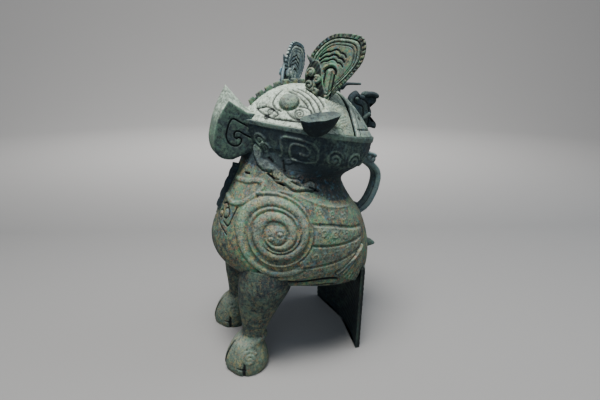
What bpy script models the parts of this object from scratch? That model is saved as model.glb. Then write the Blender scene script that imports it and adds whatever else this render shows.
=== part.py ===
"""A standing owl-shaped bronze wine vessel, cast in one piece, with a loose lid at the back of its head.

The owl faces -Y and stands on two feet and its broad tail. Sizes are in metres. The skin of the body and
head is one loft of tilted rings, and all carving is drawn on it by girth and height, or from the side.
"""

import math

import bmesh
import bpy
from mathutils import Vector

# Body and head, measured on the bare skin
BELLY_Z = 0.124  # underside of the belly above the floor
BODY_HEIGHT = 0.162  # belly underside to the neck
BODY_LENGTH = 0.244  # breast to rump
BODY_WIDTH = 0.206  # across both wings
HEAD_HEIGHT = 0.054  # neck to the rim of the head
HEAD_LENGTH = 0.194  # beak root to the back rim
HEAD_WIDTH = 0.174  # across the rim
HEAD_SET_BACK = 0.035  # the widest place of the head behind that of the body
DOME_HEIGHT = 0.058  # rim to the crown of the head
CROWN_SET_BACK = 0.030  # the crown behind the body's middle
LEDGE = 0.005  # flat rim around the foot of the dome
WALL = 0.0045  # thickness of the casting

# Mouth and lid
LID_FRONT_Y = 0.059  # where the face ends and the mouth begins
LID_GAP = 0.0025  # open joint between the face and the lid
MOUTH_TRIM = 0.0006  # the rim under the lid is dressed this much below the rim of the face
SEAT_GAP = 0.0003  # between the lid and the rim that it rests on
LID_PROUD = 0.0035  # the lid stands this far above the line of the face
LID_BIRD_LENGTH = 0.044
LID_BIRD_HEIGHT = 0.0165
LID_BIRD_INSET = 0.0085  # the bird's post behind the front edge of the lid
LID_DRAGON_THICKNESS = 0.012
LID_POST_RADIUS = 0.0042  # the bird's post

# Legs, feet and tail
FEET_APART = 0.118  # between the middles of the legs
THIGH_RADIUS = 0.038
ANKLE_RADIUS = 0.017
ANKLE_Z = 0.050
FOOT_WIDTH = 0.064
FOOT_LENGTH = 0.066
CLAW_DEPTH = 0.0030
CLAW_COUNT = 5
LEG_SUNK = 0.040  # how far the thigh runs up into the belly
TAIL_WIDTH = 0.162
TAIL_THICKNESS = 0.0085
TAIL_BULGE = 0.014  # the middle of the tail stands this far behind its side edges
TAIL_SUNK = 0.016  # how far it runs up into the belly
RUMP_BEAK_LENGTH = 0.030
TAIL_FLUTES = 5
FLUTE_DEPTH = 0.0022

# Beak, from the front of the rim
BEAK_WIDTH = 0.046
BEAK_REACH = 0.039
BEAK_RISE = 0.041
BEAK_DROP = 0.054
BEAK_SHOULDER = 0.019  # the side edges lie this far below the peak
BEAK_ROOT = 0.026  # how far the beak runs back into the head

# Crests, ears, eyes and ridges
CREST_HEIGHT = 0.0874
FAR_CREST_HEIGHT = 0.079
CREST_WIDTH = 0.0755
CREST_BROAD_SHARE = 0.72  # a crest is broadest from this share of its height on
CREST_SET_FORWARD = 0.001  # the broad part is set toward the front of the foot
CREST_SWEEP = 0.0135  # the near crest's top is swept back by this much
FAR_CREST_SWEEP = 0.004
CREST_THICKNESS = 0.0055
CREST_TURN = math.radians(40)  # each crest's face turns outward from the front by this much
CREST_LEAN_OUT = math.radians(0)
CREST_LEAN_BACK = math.radians(12)
FAR_CREST_LEAN_BACK = math.radians(8)  # the far crest stands more upright and further forward
CREST_FOOT = math.radians(88)  # place around the dome
FAR_CREST_FOOT = math.radians(66)
CREST_FOOT_SHARE = 0.56
CREST_RELIEF = 0.0014
CREST_BEAST_SIZE = 0.036  # height of the small curled beast on the front edge of each crest
CREST_BEAST_THICKNESS = 0.012
CREST_BEAST_OUT = 0.003  # the beast stands this far toward the outer face
CREST_BEAST_BACK = 0.004  # and this far back from the crest's front edge
EAR_LENGTH = 0.052
EAR_REACH = 0.034
EAR_DEPTH = 0.024
EAR_HOLLOW = 0.007  # the dish in the top of the ear
EYE_RADIUS = 0.0135
EYE_RISE = 0.005
NOSTRIL_RADIUS = 0.0065
RIDGE_THICKNESS = 0.005
FACE_RIDGE_RISE = 0.006
FACE_RIDGE_LENGTH = 0.076
FACE_RIDGE_NOTCHES = 7
BREAST_RIDGE_RISE = 0.009
BREAST_RIDGE_LENGTH = 0.050

# Handle, a strap loop from the back of the head to the back of the body
HANDLE_WIDTH = 0.024
HANDLE_THICKNESS = 0.011
HANDLE_REACH = 0.056  # outside of the loop behind the line between its ends
HANDLE_TOP_Z = 0.305
HANDLE_BOTTOM_Z = 0.205

# Carving
RELIEF = 0.0030  # how far the carving stands proud
SINK = 0.0025  # how far its foot is let into the skin
COIL_RADIUS = 0.0540  # middle of the coil's outermost turn, measured downward
COIL_TURNS = 2.75
COIL_WIDTH = 0.0105
COIL_HEAD_RADIUS = 0.012
COIL_SQUASH = 0.86  # length of the coil beside its height
FEATHER_WIDTH = 0.019
FAN_FEATHERS = 4
PLUMES = 3  # raised lines that sweep back from each eye
PLUME_WIDTH = 0.0030
CARVED_LINE = 0.0060  # width of the bands on the beak, head and breast

BRONZE = (0.16, 0.24, 0.19, 1.0)
BRONZE_ROUGHNESS = 0.62
BRONZE_METALLIC = 0.35

# Steps around the skin, then levels of body, head and dome
SKIN_COUNTS = (28, 9, 4, 5)
CAVITY_COUNTS = (18, 5, 3, 4)
NECK_Z = BELLY_Z + BODY_HEIGHT
RIM_Z = NECK_Z + HEAD_HEIGHT

# Ring stations: share of the height, then front, back and half-width shares, tilt, front squareness
BODY_RINGS = (
    (0.00, 0.350, 0.430, 0.350, -0.18, 2.3),
    (0.05, 0.425, 0.470, 0.425, -0.18, 2.3),
    (0.16, 0.482, 0.495, 0.478, -0.14, 2.3),
    (0.35, 0.500, 0.484, 0.500, -0.06, 2.2),
    (0.56, 0.468, 0.426, 0.490, 0.00, 2.2),
    (0.75, 0.402, 0.352, 0.432, -0.06, 2.2),
    (0.90, 0.336, 0.308, 0.362, -0.14, 2.1),
    (1.00, 0.300, 0.300, 0.335, -0.21, 2.0),
)
HEAD_RINGS = (
    (0.17, 0.535, 0.235, 0.440, -0.24, 1.8),
    (0.33, 0.550, 0.305, 0.480, -0.24, 1.65),
    (0.70, 0.575, 0.385, 0.495, -0.19, 1.6),
    (1.00, 0.585, 0.415, 0.500, -0.16, 1.6),
)
BACK_SQUARENESS = 2.2
DOME_FULLNESS = 2.4

# Middle of the thigh, ankle and foot in front of the body's middle, as shares of its length
LEG_TOP_SHARE = -0.24
ANKLE_SHARE = -0.315
FOOT_SHARE = -0.365


def hermite(table, t):
    """Columns of a table at t, along smooth curves through its rows; the first column holds t."""
    t = min(max(t, table[0][0]), table[-1][0])
    i = max(k for k in range(len(table) - 1) if table[k][0] <= t or k == 0)
    step = table[i + 1][0] - table[i][0]
    f = (t - table[i][0]) / step
    out = []
    for column in range(1, len(table[0])):

        def slope(k):
            low, high = max(k - 1, 0), min(k + 1, len(table) - 1)
            return (table[high][column] - table[low][column]) / (table[high][0] - table[low][0])

        a, b = table[i][column], table[i + 1][column]
        out.append(
            (2 * f**3 - 3 * f**2 + 1) * a
            + (f**3 - 2 * f**2 + f) * step * slope(i)
            + (3 * f**2 - 2 * f**3) * b
            + (f**3 - f**2) * step * slope(i + 1)
        )
    return out


def ring_table():
    """Ring stations in metres: height, front reach, back reach, half width, tilt, squareness, middle y."""
    rows = []
    for share, front, back, half, tilt, square in BODY_RINGS:
        z = BELLY_Z + share * BODY_HEIGHT
        rows.append((z, front * BODY_LENGTH, back * BODY_LENGTH, half * BODY_WIDTH, tilt, square, 0.0))
    for share, front, back, half, tilt, square in HEAD_RINGS:
        z = NECK_Z + share * HEAD_HEIGHT
        reach = (front * HEAD_LENGTH, back * HEAD_LENGTH, half * HEAD_WIDTH)
        rows.append((z, *reach, tilt, square, HEAD_SET_BACK))
    return rows


RINGS = ring_table()


def ring_point(z, angle, inset=0.0):
    """A point of the ring at height z. The angle runs from the front (-Y) towards +X."""
    front, back, half, tilt, square, middle = hermite(RINGS, z)
    c, s = math.cos(angle), math.sin(angle)
    power = 2 / (square if c > 0 else BACK_SQUARENESS)
    reach = (front if c > 0 else back) - inset
    x = (half - inset) * math.copysign(abs(s) ** power, s)
    y = middle - reach * math.copysign(abs(c) ** power, c)
    return Vector((x, y, z + tilt * (y - middle)))


def dome_point(share, angle, inset=0.0):
    """A point of the dome above the rim: share is 1 at its foot and 0 at the crown."""
    rim = ring_point(RIM_Z, angle, LEDGE + inset)
    y = CROWN_SET_BACK + (rim.y - CROWN_SET_BACK) * share
    base = RIM_Z + (rim.z - RIM_Z) * share
    return Vector((rim.x * share, y, base + (DOME_HEIGHT - inset) * (1 - share**DOME_FULLNESS)))


def mesh_object(name, points, faces):
    mesh = bpy.data.meshes.new(name)
    mesh.from_pydata([tuple(p) for p in points], [], faces)
    mesh.update()
    made = bpy.data.objects.new(name, mesh)
    bpy.context.scene.collection.objects.link(made)
    return made


def loft(name, rings, peak=None):
    """A closed solid through rings of equal counts, with flat ends, or a peak over the last ring."""
    n = len(rings[0])
    points = [p for ring in rings for p in ring]
    faces = [tuple(range(n - 1, -1, -1))]
    for k in range(len(rings) - 1):
        for i in range(n):
            j = (i + 1) % n
            faces.append((k * n + i, k * n + j, (k + 1) * n + j, (k + 1) * n + i))
    top = [(len(rings) - 1) * n + i for i in range(n)]
    if peak is None:
        faces.append(tuple(top))
    else:
        points.append(peak)
        faces += [(top[i], top[(i + 1) % n], len(points) - 1) for i in range(n)]
    made = mesh_object(name, points, faces)
    face_outward(made)
    return made


def face_outward(made):
    shape = bmesh.new()
    shape.from_mesh(made.data)
    bmesh.ops.remove_doubles(shape, verts=shape.verts, dist=1e-6)
    bmesh.ops.recalc_face_normals(shape, faces=shape.faces)
    shape.to_mesh(made.data)
    shape.free()


def angles(count):
    return [2 * math.pi * i / count for i in range(count)]


def dome_share(level, levels):
    """Shares of the dome's levels, closer together near its foot."""
    return math.cos(0.5 * math.pi * level / levels)


def skin(name, inset, counts):
    """The whole skin from belly to crown as one closed solid, drawn in by inset.

    The counts are those of the steps around it and of the levels of body, head and dome.
    """
    steps, body_levels, head_levels, dome_levels = counts
    turn = angles(steps)
    rings = []
    for level in range(body_levels + 1):
        share = (level / body_levels) ** 1.3
        z = BELLY_Z + share * BODY_HEIGHT
        lift = inset * (1 - share)
        rings.append([ring_point(z, a, inset) + Vector((0, 0, lift)) for a in turn])
    for level in range(1, head_levels + 1):
        z = NECK_Z + (HEAD_HEIGHT - inset) * level / head_levels
        rings.append([ring_point(z, a, inset) for a in turn])
    for level in range(dome_levels):
        rings.append([dome_point(dome_share(level, dome_levels), a, inset) for a in turn])
    return loft(name, rings, dome_point(0.0, 0.0, inset))


def boolean(target, other, operation, use_self=False):
    """Cuts or joins two solids for good, and removes the second."""
    step = target.modifiers.new(operation.lower(), "BOOLEAN")
    step.operation = operation
    step.solver = "EXACT"
    step.use_self = use_self
    step.object = other
    graph = bpy.context.evaluated_depsgraph_get()
    result = bpy.data.meshes.new_from_object(target.evaluated_get(graph))
    shape = bmesh.new()
    shape.from_mesh(result)
    bmesh.ops.triangulate(shape, faces=shape.faces)
    shape.to_mesh(result)
    shape.free()
    target.modifiers.clear()
    target.data = result
    bpy.data.objects.remove(other)
    return target


def joined(name, shapes):
    """One object from several closed shapes, which a later union makes into one body."""
    points, faces = [], []
    for shape in shapes:
        start = len(points)
        points += [vertex.co.copy() for vertex in shape.data.vertices]
        faces += [tuple(start + i for i in face.vertices) for face in shape.data.polygons]
        bpy.data.objects.remove(shape)
    return mesh_object(name, points, faces)


def mirrored(shape):
    """A copy of a solid on the other side of the owl."""
    points = [Vector((-v.co.x, v.co.y, v.co.z)) for v in shape.data.vertices]
    faces = [tuple(reversed(face.vertices)) for face in shape.data.polygons]
    return mesh_object(shape.name + "_far", points, faces)


def both_sides(shapes):
    return shapes + [mirrored(shape) for shape in shapes]


def side_point(y, z):
    """The skin of the owl's left side at a given place as it is seen from that side."""
    height = z
    for _ in range(6):
        front, back, half, tilt, square, middle = hermite(RINGS, height)
        height = z - tilt * (y - middle)
    reach, power = (front, square) if y < middle else (back, BACK_SQUARENESS)
    bulge = max(1e-4, 1 - abs((y - middle) / reach) ** power)
    return Vector((half * bulge ** (1 / power), y, z))


def girth_patch(angle, z):
    """A surface around one place of the skin: s runs along the girth and t upward, in metres."""
    step = 0.01
    stretch = (ring_point(z, angle + step) - ring_point(z, angle - step)).length / (2 * step)
    return lambda s, t: ring_point(z + t, angle + s / stretch)


def dome_patch(angle, share):
    """A surface around one place of the dome: s runs along the girth and t up the slope, in metres."""
    step = 0.01
    girth = (dome_point(share, angle + step) - dome_point(share, angle - step)).length / (2 * step)
    slope = (dome_point(share - step, angle) - dome_point(share + step, angle)).length / (2 * step)
    return lambda s, t: dome_point(share - t / slope, angle + s / girth)


def frame_at(surface, s, t):
    """A point of a surface and its outward normal."""
    step = 0.0008
    along = surface(s + step, t) - surface(s - step, t)
    up = surface(s, t + step) - surface(s, t - step)
    return surface(s, t), along.cross(up).normalized()


def band(surface, path, width, rise=RELIEF):
    """A raised band with sloping sides along a path on a surface.

    The width is a number, or a function of the share of the way along.
    """
    stations = [frame_at(surface, s, t) for s, t in path]
    last = len(stations) - 1
    rings = []
    for k, (point, normal) in enumerate(stations):
        ahead = stations[min(k + 1, last)][0] - stations[max(k - 1, 0)][0]
        across = normal.cross(ahead).normalized()
        half = (width(k / last) if callable(width) else width) / 2
        section = ((-1, -SINK), (-0.62, rise), (0.62, rise), (1, -SINK))
        rings.append([point + across * half * side + normal * lift for side, lift in section])
    return loft("band", rings)


def boss(surface, radius, rise, steps=12):
    """A low round boss at the middle of a surface patch."""
    rings = []
    for share, lift in ((1.0, -SINK), (1.0, 0.1 * rise), (0.8, 0.6 * rise), (0.42, 0.95 * rise)):
        ring = []
        for a in angles(steps):
            point, normal = frame_at(surface, share * radius * math.cos(a), share * radius * math.sin(a))
            ring.append(point + normal * lift)
        rings.append(ring)
    return loft("boss", rings)


def spiral(radius, inner, turns, start, steps_per_turn=14, centre=(0.0, 0.0), squash=1.0):
    """Points of a flat spiral from its outer end inward. Negative turns wind clockwise."""
    count = max(2, round(abs(turns) * steps_per_turn))
    path = []
    for k in range(count + 1):
        share = k / count
        reach = radius + (inner - radius) * share
        a = start + 2 * math.pi * turns * share
        path.append((centre[0] + reach * math.cos(a) * squash, centre[1] + reach * math.sin(a)))
    return path


def curve(points, count):
    """Evenly spaced points along a smooth curve through a few given ones."""
    table = [(k, *point) for k, point in enumerate(points)]
    last = len(points) - 1
    return [tuple(hermite(table, last * k / count)) for k in range(count + 1)]


def legs():
    """Two drumstick legs, each running down into a rounded foot with four claws."""
    steps = 16
    x = FEET_APART / 2
    foot_y, ankle_y, thigh_y = (share * BODY_LENGTH for share in (FOOT_SHARE, ANKLE_SHARE, LEG_TOP_SHARE))
    top = BELLY_Z + LEG_SUNK
    width, length = FOOT_WIDTH / 2, FOOT_LENGTH / 2
    # Height, middle y, half-width, half-length, claw depth
    stations = (
        (0.000, foot_y, 0.93 * width, 0.93 * length, CLAW_DEPTH),
        (0.18 * ANKLE_Z, foot_y, width, length, CLAW_DEPTH),
        (0.50 * ANKLE_Z, foot_y + 0.001, 0.93 * width, 0.90 * length, 0.8 * CLAW_DEPTH),
        (0.84 * ANKLE_Z, foot_y + 0.004, 0.73 * width, 0.68 * length, 0.4 * CLAW_DEPTH),
        (1.00 * ANKLE_Z, ankle_y, 1.18 * ANKLE_RADIUS, 1.18 * ANKLE_RADIUS, 0.0),
        (1.10 * ANKLE_Z, ankle_y, ANKLE_RADIUS, ANKLE_RADIUS, 0.0),
        (0.45 * top, 0.8 * ankle_y + 0.2 * thigh_y, 1.22 * ANKLE_RADIUS, 1.26 * ANKLE_RADIUS, 0.0),
        (0.62 * top, 0.45 * ankle_y + 0.55 * thigh_y, 0.76 * THIGH_RADIUS, 0.80 * THIGH_RADIUS, 0.0),
        (0.80 * top, thigh_y, THIGH_RADIUS, THIGH_RADIUS, 0.0),
        (top, thigh_y + 0.006, 0.9 * THIGH_RADIUS, THIGH_RADIUS, 0.0),
    )
    rings = []
    for z, y, half, reach, claw in stations:
        ring = []
        for a in angles(steps):
            ahead = max(0.0, math.cos(a)) ** 0.5
            cut = 1 - claw * ahead * (0.5 + 0.5 * math.cos(CLAW_COUNT * a + math.pi)) / half
            ring.append(Vector((x + half * cut * math.sin(a), y - reach * cut * math.cos(a), z)))
        rings.append(ring)
    return both_sides([loft("leg", rings)])


def tail():
    """The broad tail: a fluted plate, curved back in the middle, from the rump down to the floor."""
    steps = 20
    rump = ring_point(BELLY_Z, math.pi).y - TAIL_THICKNESS / 2
    edge_x = TAIL_WIDTH / 2
    back, front = [], []
    for k in range(steps + 1):
        share = 2 * k / steps - 1
        y = rump - TAIL_BULGE * share**2
        flute = FLUTE_DEPTH * abs(math.sin(0.5 * math.pi * TAIL_FLUTES * (share + 1)))
        back.append((edge_x * share, y + TAIL_THICKNESS / 2 - FLUTE_DEPTH + flute))
        front.append((edge_x * share, y - TAIL_THICKNESS / 2))
    outline = front + back[::-1]
    heights = (0.0, BELLY_Z + TAIL_SUNK)
    return loft("tail", [[Vector((x, y, z)) for x, y in outline] for z in heights])


def rump_beak():
    """A small hooked beak on the rump, above the tail."""
    root = ring_point(BELLY_Z + 0.035, math.pi)
    rings = []
    for share, half in ((-0.35, 0.011), (0.25, 0.010), (0.7, 0.006), (1.0, 0.002)):
        centre = root + Vector((0, RUMP_BEAK_LENGTH * share, -0.2 * RUMP_BEAK_LENGTH * share**2))
        rings.append([centre + Vector((half * math.sin(a), 0, half * math.cos(a))) for a in angles(8)])
    return loft("rump_beak", rings)


def beak_outline(x):
    """The beak's outline in a plane beside its middle: a peak in front, round below."""
    share = abs(x) / (BEAK_WIDTH / 2)
    front = ring_point(RIM_Z, 0.0)
    root_y = front.y + BEAK_ROOT
    low = front.z - BEAK_DROP
    peak = Vector((x, front.y - 0.34 * BEAK_REACH, front.z + BEAK_RISE - BEAK_SHOULDER * share))
    brow = Vector((x, front.y - BEAK_REACH + 0.004 * share, front.z - 0.022))
    under = Vector((x, front.y - 0.30 * BEAK_REACH, low))
    corner = Vector((x, front.y - 1.06 * BEAK_REACH, low))
    nape = front.z + (0.35 - 0.20 * share) * BEAK_RISE
    points = [Vector((x, root_y, front.z + 0.1 * BEAK_RISE)), Vector((x, front.y + 0.4 * BEAK_ROOT, nape))]
    for k in range(4):
        bulge = 0.10 * BEAK_REACH * math.sin(math.pi * k / 4)
        points.append(peak.lerp(brow, k / 4) - Vector((0, bulge, 0)))
    for k in range(6):
        f = k / 5
        points.append(brow * (1 - f) ** 2 + corner * 2 * f * (1 - f) + under * f**2)
    points.append(Vector((x, root_y, low + 0.25 * BEAK_DROP)))
    return points


def beak():
    stations = [BEAK_WIDTH / 2 * share for share in (-1.0, -0.5, 0.0, 0.5, 1.0)]
    return loft("beak", [beak_outline(x) for x in stations])


def beak_side(s, t):
    """The flat near side of the beak, with its origin at the middle of the carved spiral."""
    front = ring_point(RIM_Z, 0.0)
    return Vector((BEAK_WIDTH / 2, front.y + s, front.z - 0.47 * BEAK_DROP + t))


def ears():
    """A dished ear on each side of the head, hollow above."""
    root = ring_point(RIM_Z, math.radians(80))
    rings = []
    half = EAR_LENGTH / 2
    # Share of the length, share of the reach, drop below the ear's edge
    stations = (
        (0.42, 0.40, 1.0),
        (0.78, 0.75, 0.55),
        (1.0, 1.0, 0.0),
        (0.84, 0.82, 0.0),
        (0.5, 0.5, EAR_HOLLOW / EAR_DEPTH),
    )
    for long, wide, drop in stations:
        ring = []
        for a in angles(12):
            x = root.x - 0.006 + EAR_REACH * (0.5 * wide * math.sin(a) + 0.14 - 0.20 * drop)
            y = root.y - 0.25 * EAR_LENGTH + half * long * math.cos(a)
            ring.append(Vector((x, y, root.z + 0.9 * EAR_DEPTH + 0.14 * (y - root.y) - EAR_DEPTH * drop)))
        rings.append(ring)
    return both_sides([loft("ear", rings)])


def crest_frame(foot_angle, lean_back):
    """Foot of a crest on the near side, and its directions across, up and out of its face."""
    up = Vector((math.tan(CREST_LEAN_OUT), math.tan(lean_back), 1)).normalized()
    face = Vector((math.sin(CREST_TURN), -math.cos(CREST_TURN), 0))
    across = face.cross(up).normalized()
    return dome_point(CREST_FOOT_SHARE, foot_angle) - up * 2 * WALL, across, up, up.cross(across)


def crest_outline(height, sweep, count):
    """Half-widths and heights of a leaf with a broad full top and a narrow foot, once around from the foot."""
    points = []
    for a in angles(count):
        rise = 0.5 - 0.5 * math.cos(a)
        broad = 0.2 + 0.8 * math.sin(0.5 * math.pi * min(1.0, rise / CREST_BROAD_SHARE)) ** 1.7
        half = CREST_WIDTH / 2 * broad * math.copysign(abs(math.sin(a)) ** 0.6, math.sin(a))
        bend = CREST_SET_FORWARD * min(1.0, rise / 0.4) - sweep * max(0.0, 2 * rise - 1) ** 1.3
        points.append((half + bend, rise * height))
    return points


def crest(foot_angle, lean_back, height, sweep):
    """One leaf-shaped crest with a raised border and a raised arch on both faces."""
    foot, across, up, out = crest_frame(foot_angle, lean_back)
    middle = 0.52 * height
    # Share of the outline, share of the relief
    levels = ((0.42, 0.0), (0.52, 1.0), (0.62, 0.0), (0.80, 0.0), (0.88, 1.0), (1.0, 0.7))
    rings = []
    for face in (1, -1):
        for share, lift in levels[::face]:
            depth = face * (CREST_THICKNESS / 2 - CREST_RELIEF * (1 - lift))
            ring = [
                foot + across * u * share + up * (middle + (v - middle) * share) + out * depth
                for u, v in crest_outline(height, sweep, 16)
            ]
            rings.append(ring)
    return loft("crest", rings)


def crest_beast(foot_angle, lean_back):
    """The small curled beast that climbs the front edge of a crest."""
    foot, across, up, out = crest_frame(foot_angle, lean_back)
    size = CREST_BEAST_SIZE
    # Distance to the front of the crest's middle and height above its foot, as shares of the beast's size
    route = curve(((0.20, 0.30), (0.62, 0.50), (0.86, 0.80), (0.88, 1.20), (0.66, 1.42)), 8)
    rings = []
    for k, (ahead, rise) in enumerate(route):
        half = 0.24 * size * math.sin(math.pi * (k + 1.2) / (len(route) + 1.4)) ** 0.5
        thick = 0.5 * CREST_BEAST_THICKNESS
        place = across * (ahead * size - CREST_BEAST_BACK) + up * (rise * size + 2 * WALL)
        centre = foot + place + out * CREST_BEAST_OUT
        tangent_ahead = route[min(k + 1, 8)][0] - route[max(k - 1, 0)][0]
        tangent_up = route[min(k + 1, 8)][1] - route[max(k - 1, 0)][1]
        side = (across * tangent_up - up * tangent_ahead).normalized()
        rings.append([centre + side * half * math.cos(a) + out * thick * math.sin(a) for a in angles(8)])
    return loft("crest_beast", rings)


def crests():
    """The two crests with their beasts; the far one stands more upright."""
    far = [
        crest(FAR_CREST_FOOT, FAR_CREST_LEAN_BACK, FAR_CREST_HEIGHT, FAR_CREST_SWEEP),
        crest_beast(FAR_CREST_FOOT, FAR_CREST_LEAN_BACK),
    ]
    near = [
        crest(CREST_FOOT, CREST_LEAN_BACK, CREST_HEIGHT, CREST_SWEEP),
        crest_beast(CREST_FOOT, CREST_LEAN_BACK),
    ]
    shapes = near + [mirrored(shape) for shape in far]
    for shape in far:
        bpy.data.objects.remove(shape)
    return shapes


def ridge(name, surface, low, length, rises):
    """An upright plate along the middle line of a surface patch, with a rise for each of its stations."""
    half = RIDGE_THICKNESS / 2
    rings = []
    for k, rise in enumerate(rises):
        point, normal = frame_at(surface, 0.0, low + length * k / (len(rises) - 1))
        section = ((-half, -SINK), (-half, rise), (half, rise), (half, -SINK))
        rings.append([point + Vector((x, 0, 0)) + normal * lift for x, lift in section])
    return loft(name, rings)


def ridges():
    """The ridges on the owl's middle line: a notched one over the face and one down the breast."""
    notches = 2 * FACE_RIDGE_NOTCHES + 2
    face_rises = [FACE_RIDGE_RISE * (1.0 if k % 2 else 0.45) for k in range(notches)]
    breast_rises = [BREAST_RIDGE_RISE * (0.6 + 0.4 * k / 7) for k in range(8)]
    over_face = dome_patch(0.0, 0.5)
    on_breast = girth_patch(0.0, NECK_Z - 0.020)
    return [
        ridge("face_ridge", over_face, -0.47 * FACE_RIDGE_LENGTH, FACE_RIDGE_LENGTH, face_rises),
        ridge("breast_ridge", on_breast, -0.76 * BREAST_RIDGE_LENGTH, BREAST_RIDGE_LENGTH, breast_rises),
    ]


def handle_path():
    """The middle line of the handle's strap, from the head to the body, as (y, z)."""
    top = ring_point(HANDLE_TOP_Z, math.pi)
    low = ring_point(HANDLE_BOTTOM_Z, math.pi)
    reach = HANDLE_REACH - HANDLE_THICKNESS / 2
    base_y = 0.5 * (top.y + low.y) - 0.012
    span = top.z - low.z
    points = (
        (top.y - 0.008, top.z - 0.002),
        (top.y + 0.016, top.z - 0.001),
        (base_y + 0.97 * reach, top.z - 0.24 * span),
        (base_y + reach, top.z - 0.54 * span),
        (base_y + 0.72 * reach, low.z + 0.12 * span),
        (low.y - 0.006, low.z - 0.004),
    )
    return curve(points, 14)


def handle():
    path = [Vector((0, y, z)) for y, z in handle_path()]
    last = len(path) - 1
    rings = []
    for k, point in enumerate(path):
        ahead = (path[min(k + 1, last)] - path[max(k - 1, 0)]).normalized()
        outward = Vector((0, ahead.z, -ahead.y)) * -1
        ring = []
        for a in angles(8):
            x = 0.5 * HANDLE_WIDTH * math.copysign(abs(math.cos(a)) ** 0.6, math.cos(a))
            lift = 0.5 * HANDLE_THICKNESS * math.copysign(abs(math.sin(a)) ** 0.8, math.sin(a))
            ring.append(point + Vector((x, 0, 0)) + outward * lift)
        rings.append(ring)
    return loft("handle", rings)


def handle_head():
    """The small animal head that grips the top of the handle."""
    y, z = handle_path()[4]
    # Share of the head's length, half-width, half-height
    stations = ((-1.0, 0.008, 0.006), (-0.4, 0.014, 0.010), (0.4, 0.013, 0.009), (1.0, 0.006, 0.005))
    rings = []
    for share, half, tall in stations:
        centre = Vector((0, y + 0.002 + 0.010 * share, z + 0.006 - 0.004 * share))
        rings.append([centre + Vector((half * math.cos(a), 0, tall * math.sin(a))) for a in angles(8)])
    return loft("handle_head", rings)


def wing_place(y, up):
    """A place of the wing, measured back from the body's middle and up from the belly."""
    return y, BELLY_Z + up


def wing_patch(centre):
    """The wing's skin around one place, s backward and t upward."""
    return lambda s, t: side_point(centre[0] + s, centre[1] + t)


def wing_carving():
    """The great snake coil of each wing, its head, the long feathers and the fan behind them."""
    centre = wing_place(-0.22 * BODY_LENGTH, 0.565 * BODY_HEIGHT)
    low = centre[1] - COIL_RADIUS
    border = (
        wing_place(0.290 * BODY_LENGTH, 0.345 * BODY_HEIGHT),
        wing_place(0.160 * BODY_LENGTH, 0.272 * BODY_HEIGHT),
        (centre[0] + COIL_RADIUS, low),
        (centre[0], low),
    )
    inner = COIL_HEAD_RADIUS + 0.55 * COIL_WIDTH
    coil = spiral(COIL_RADIUS, inner, -COIL_TURNS, math.radians(-90), 11, centre, COIL_SQUASH)
    path = curve(border, 7)[:-1] + coil
    shapes = [band(side_point, path, lambda share: COIL_WIDTH * min(1.0, 0.55 + 4 * share))]
    shapes.append(boss(wing_patch(centre), COIL_HEAD_RADIUS, RELIEF, 8))
    # Middle line of each feather, as shares of the body's length and height
    feathers = (
        ((-0.020, 0.555), (0.145, 0.515), (0.296, 0.500)),
        ((-0.045, 0.390), (0.130, 0.378), (0.300, 0.410)),
    )
    for feather in feathers:
        path = curve([wing_place(y * BODY_LENGTH, up * BODY_HEIGHT) for y, up in feather], 5)
        shapes.append(band(side_point, path, lambda share: FEATHER_WIDTH * (1.1 - 0.60 * share)))
    for k in range(FAN_FEATHERS):
        share = k / (FAN_FEATHERS - 1)
        start = wing_place((0.308 + 0.012 * share) * BODY_LENGTH, (0.300 - 0.02 * share) * BODY_HEIGHT)
        end = wing_place((0.175 + 0.120 * share) * BODY_LENGTH, (0.175 - 0.115 * share) * BODY_HEIGHT)
        fan_width = (0.26 * FEATHER_WIDTH, 0.50 * FEATHER_WIDTH)
        shapes.append(band(side_point, curve((start, end), 2), widening(*fan_width), 0.8 * RELIEF))
    return both_sides(shapes)


def widening(start, end):
    """A band's width that grows evenly along its path."""
    return lambda share: start + (end - start) * share


def face(s, t):
    """The dome by angle s and by t, the share of the way up from its foot."""
    return dome_point(1 - t, s)


def head_carving():
    """Spirals on the beak and the band of the head, eyes, nostrils and plumes on the face."""
    shapes = []
    # The hook on the beak's side, as shares of the beak's reach and drop
    hook = (
        (0.40, 0.060),
        (0.05, 0.20),
        (-0.24, 0.275),
        (-0.33, 0.13),
        (-0.34, -0.02),
        (-0.22, -0.12),
        (-0.06, -0.14),
    )
    path = curve([(s * BEAK_REACH, t * BEAK_DROP) for s, t in hook], 12)
    shapes.append(band(beak_side, path, 0.15 * BEAK_DROP, 0.6 * RELIEF))
    for angle, radius in ((60, 0.0150), (84, 0.0130)):
        patch = girth_patch(math.radians(angle), RIM_Z - 0.59 * HEAD_HEIGHT)
        scroll = spiral(radius, 0.004, 1.4, math.radians(30), 8)
        shapes.append(band(patch, scroll, 0.8 * CARVED_LINE, 0.7 * RELIEF))
    shapes.append(boss(dome_patch(math.radians(47), 0.735), EYE_RADIUS, EYE_RISE, 10))
    shapes.append(boss(dome_patch(math.radians(22.6), 0.813), NOSTRIL_RADIUS, 0.5 * EYE_RISE, 8))
    for k in range(PLUMES):
        fall = 0.045 * k
        plume = (
            (44 + 3 * k, 0.450 - fall),
            (62, 0.390 - 1.2 * fall),
            (77 - 1.5 * k, 0.300 - 0.9 * fall),
        )
        path = curve([(math.radians(angle), up) for angle, up in plume], 4)
        shapes.append(band(face, path, PLUME_WIDTH, 0.4 * RELIEF))
    return both_sides(shapes)


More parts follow.
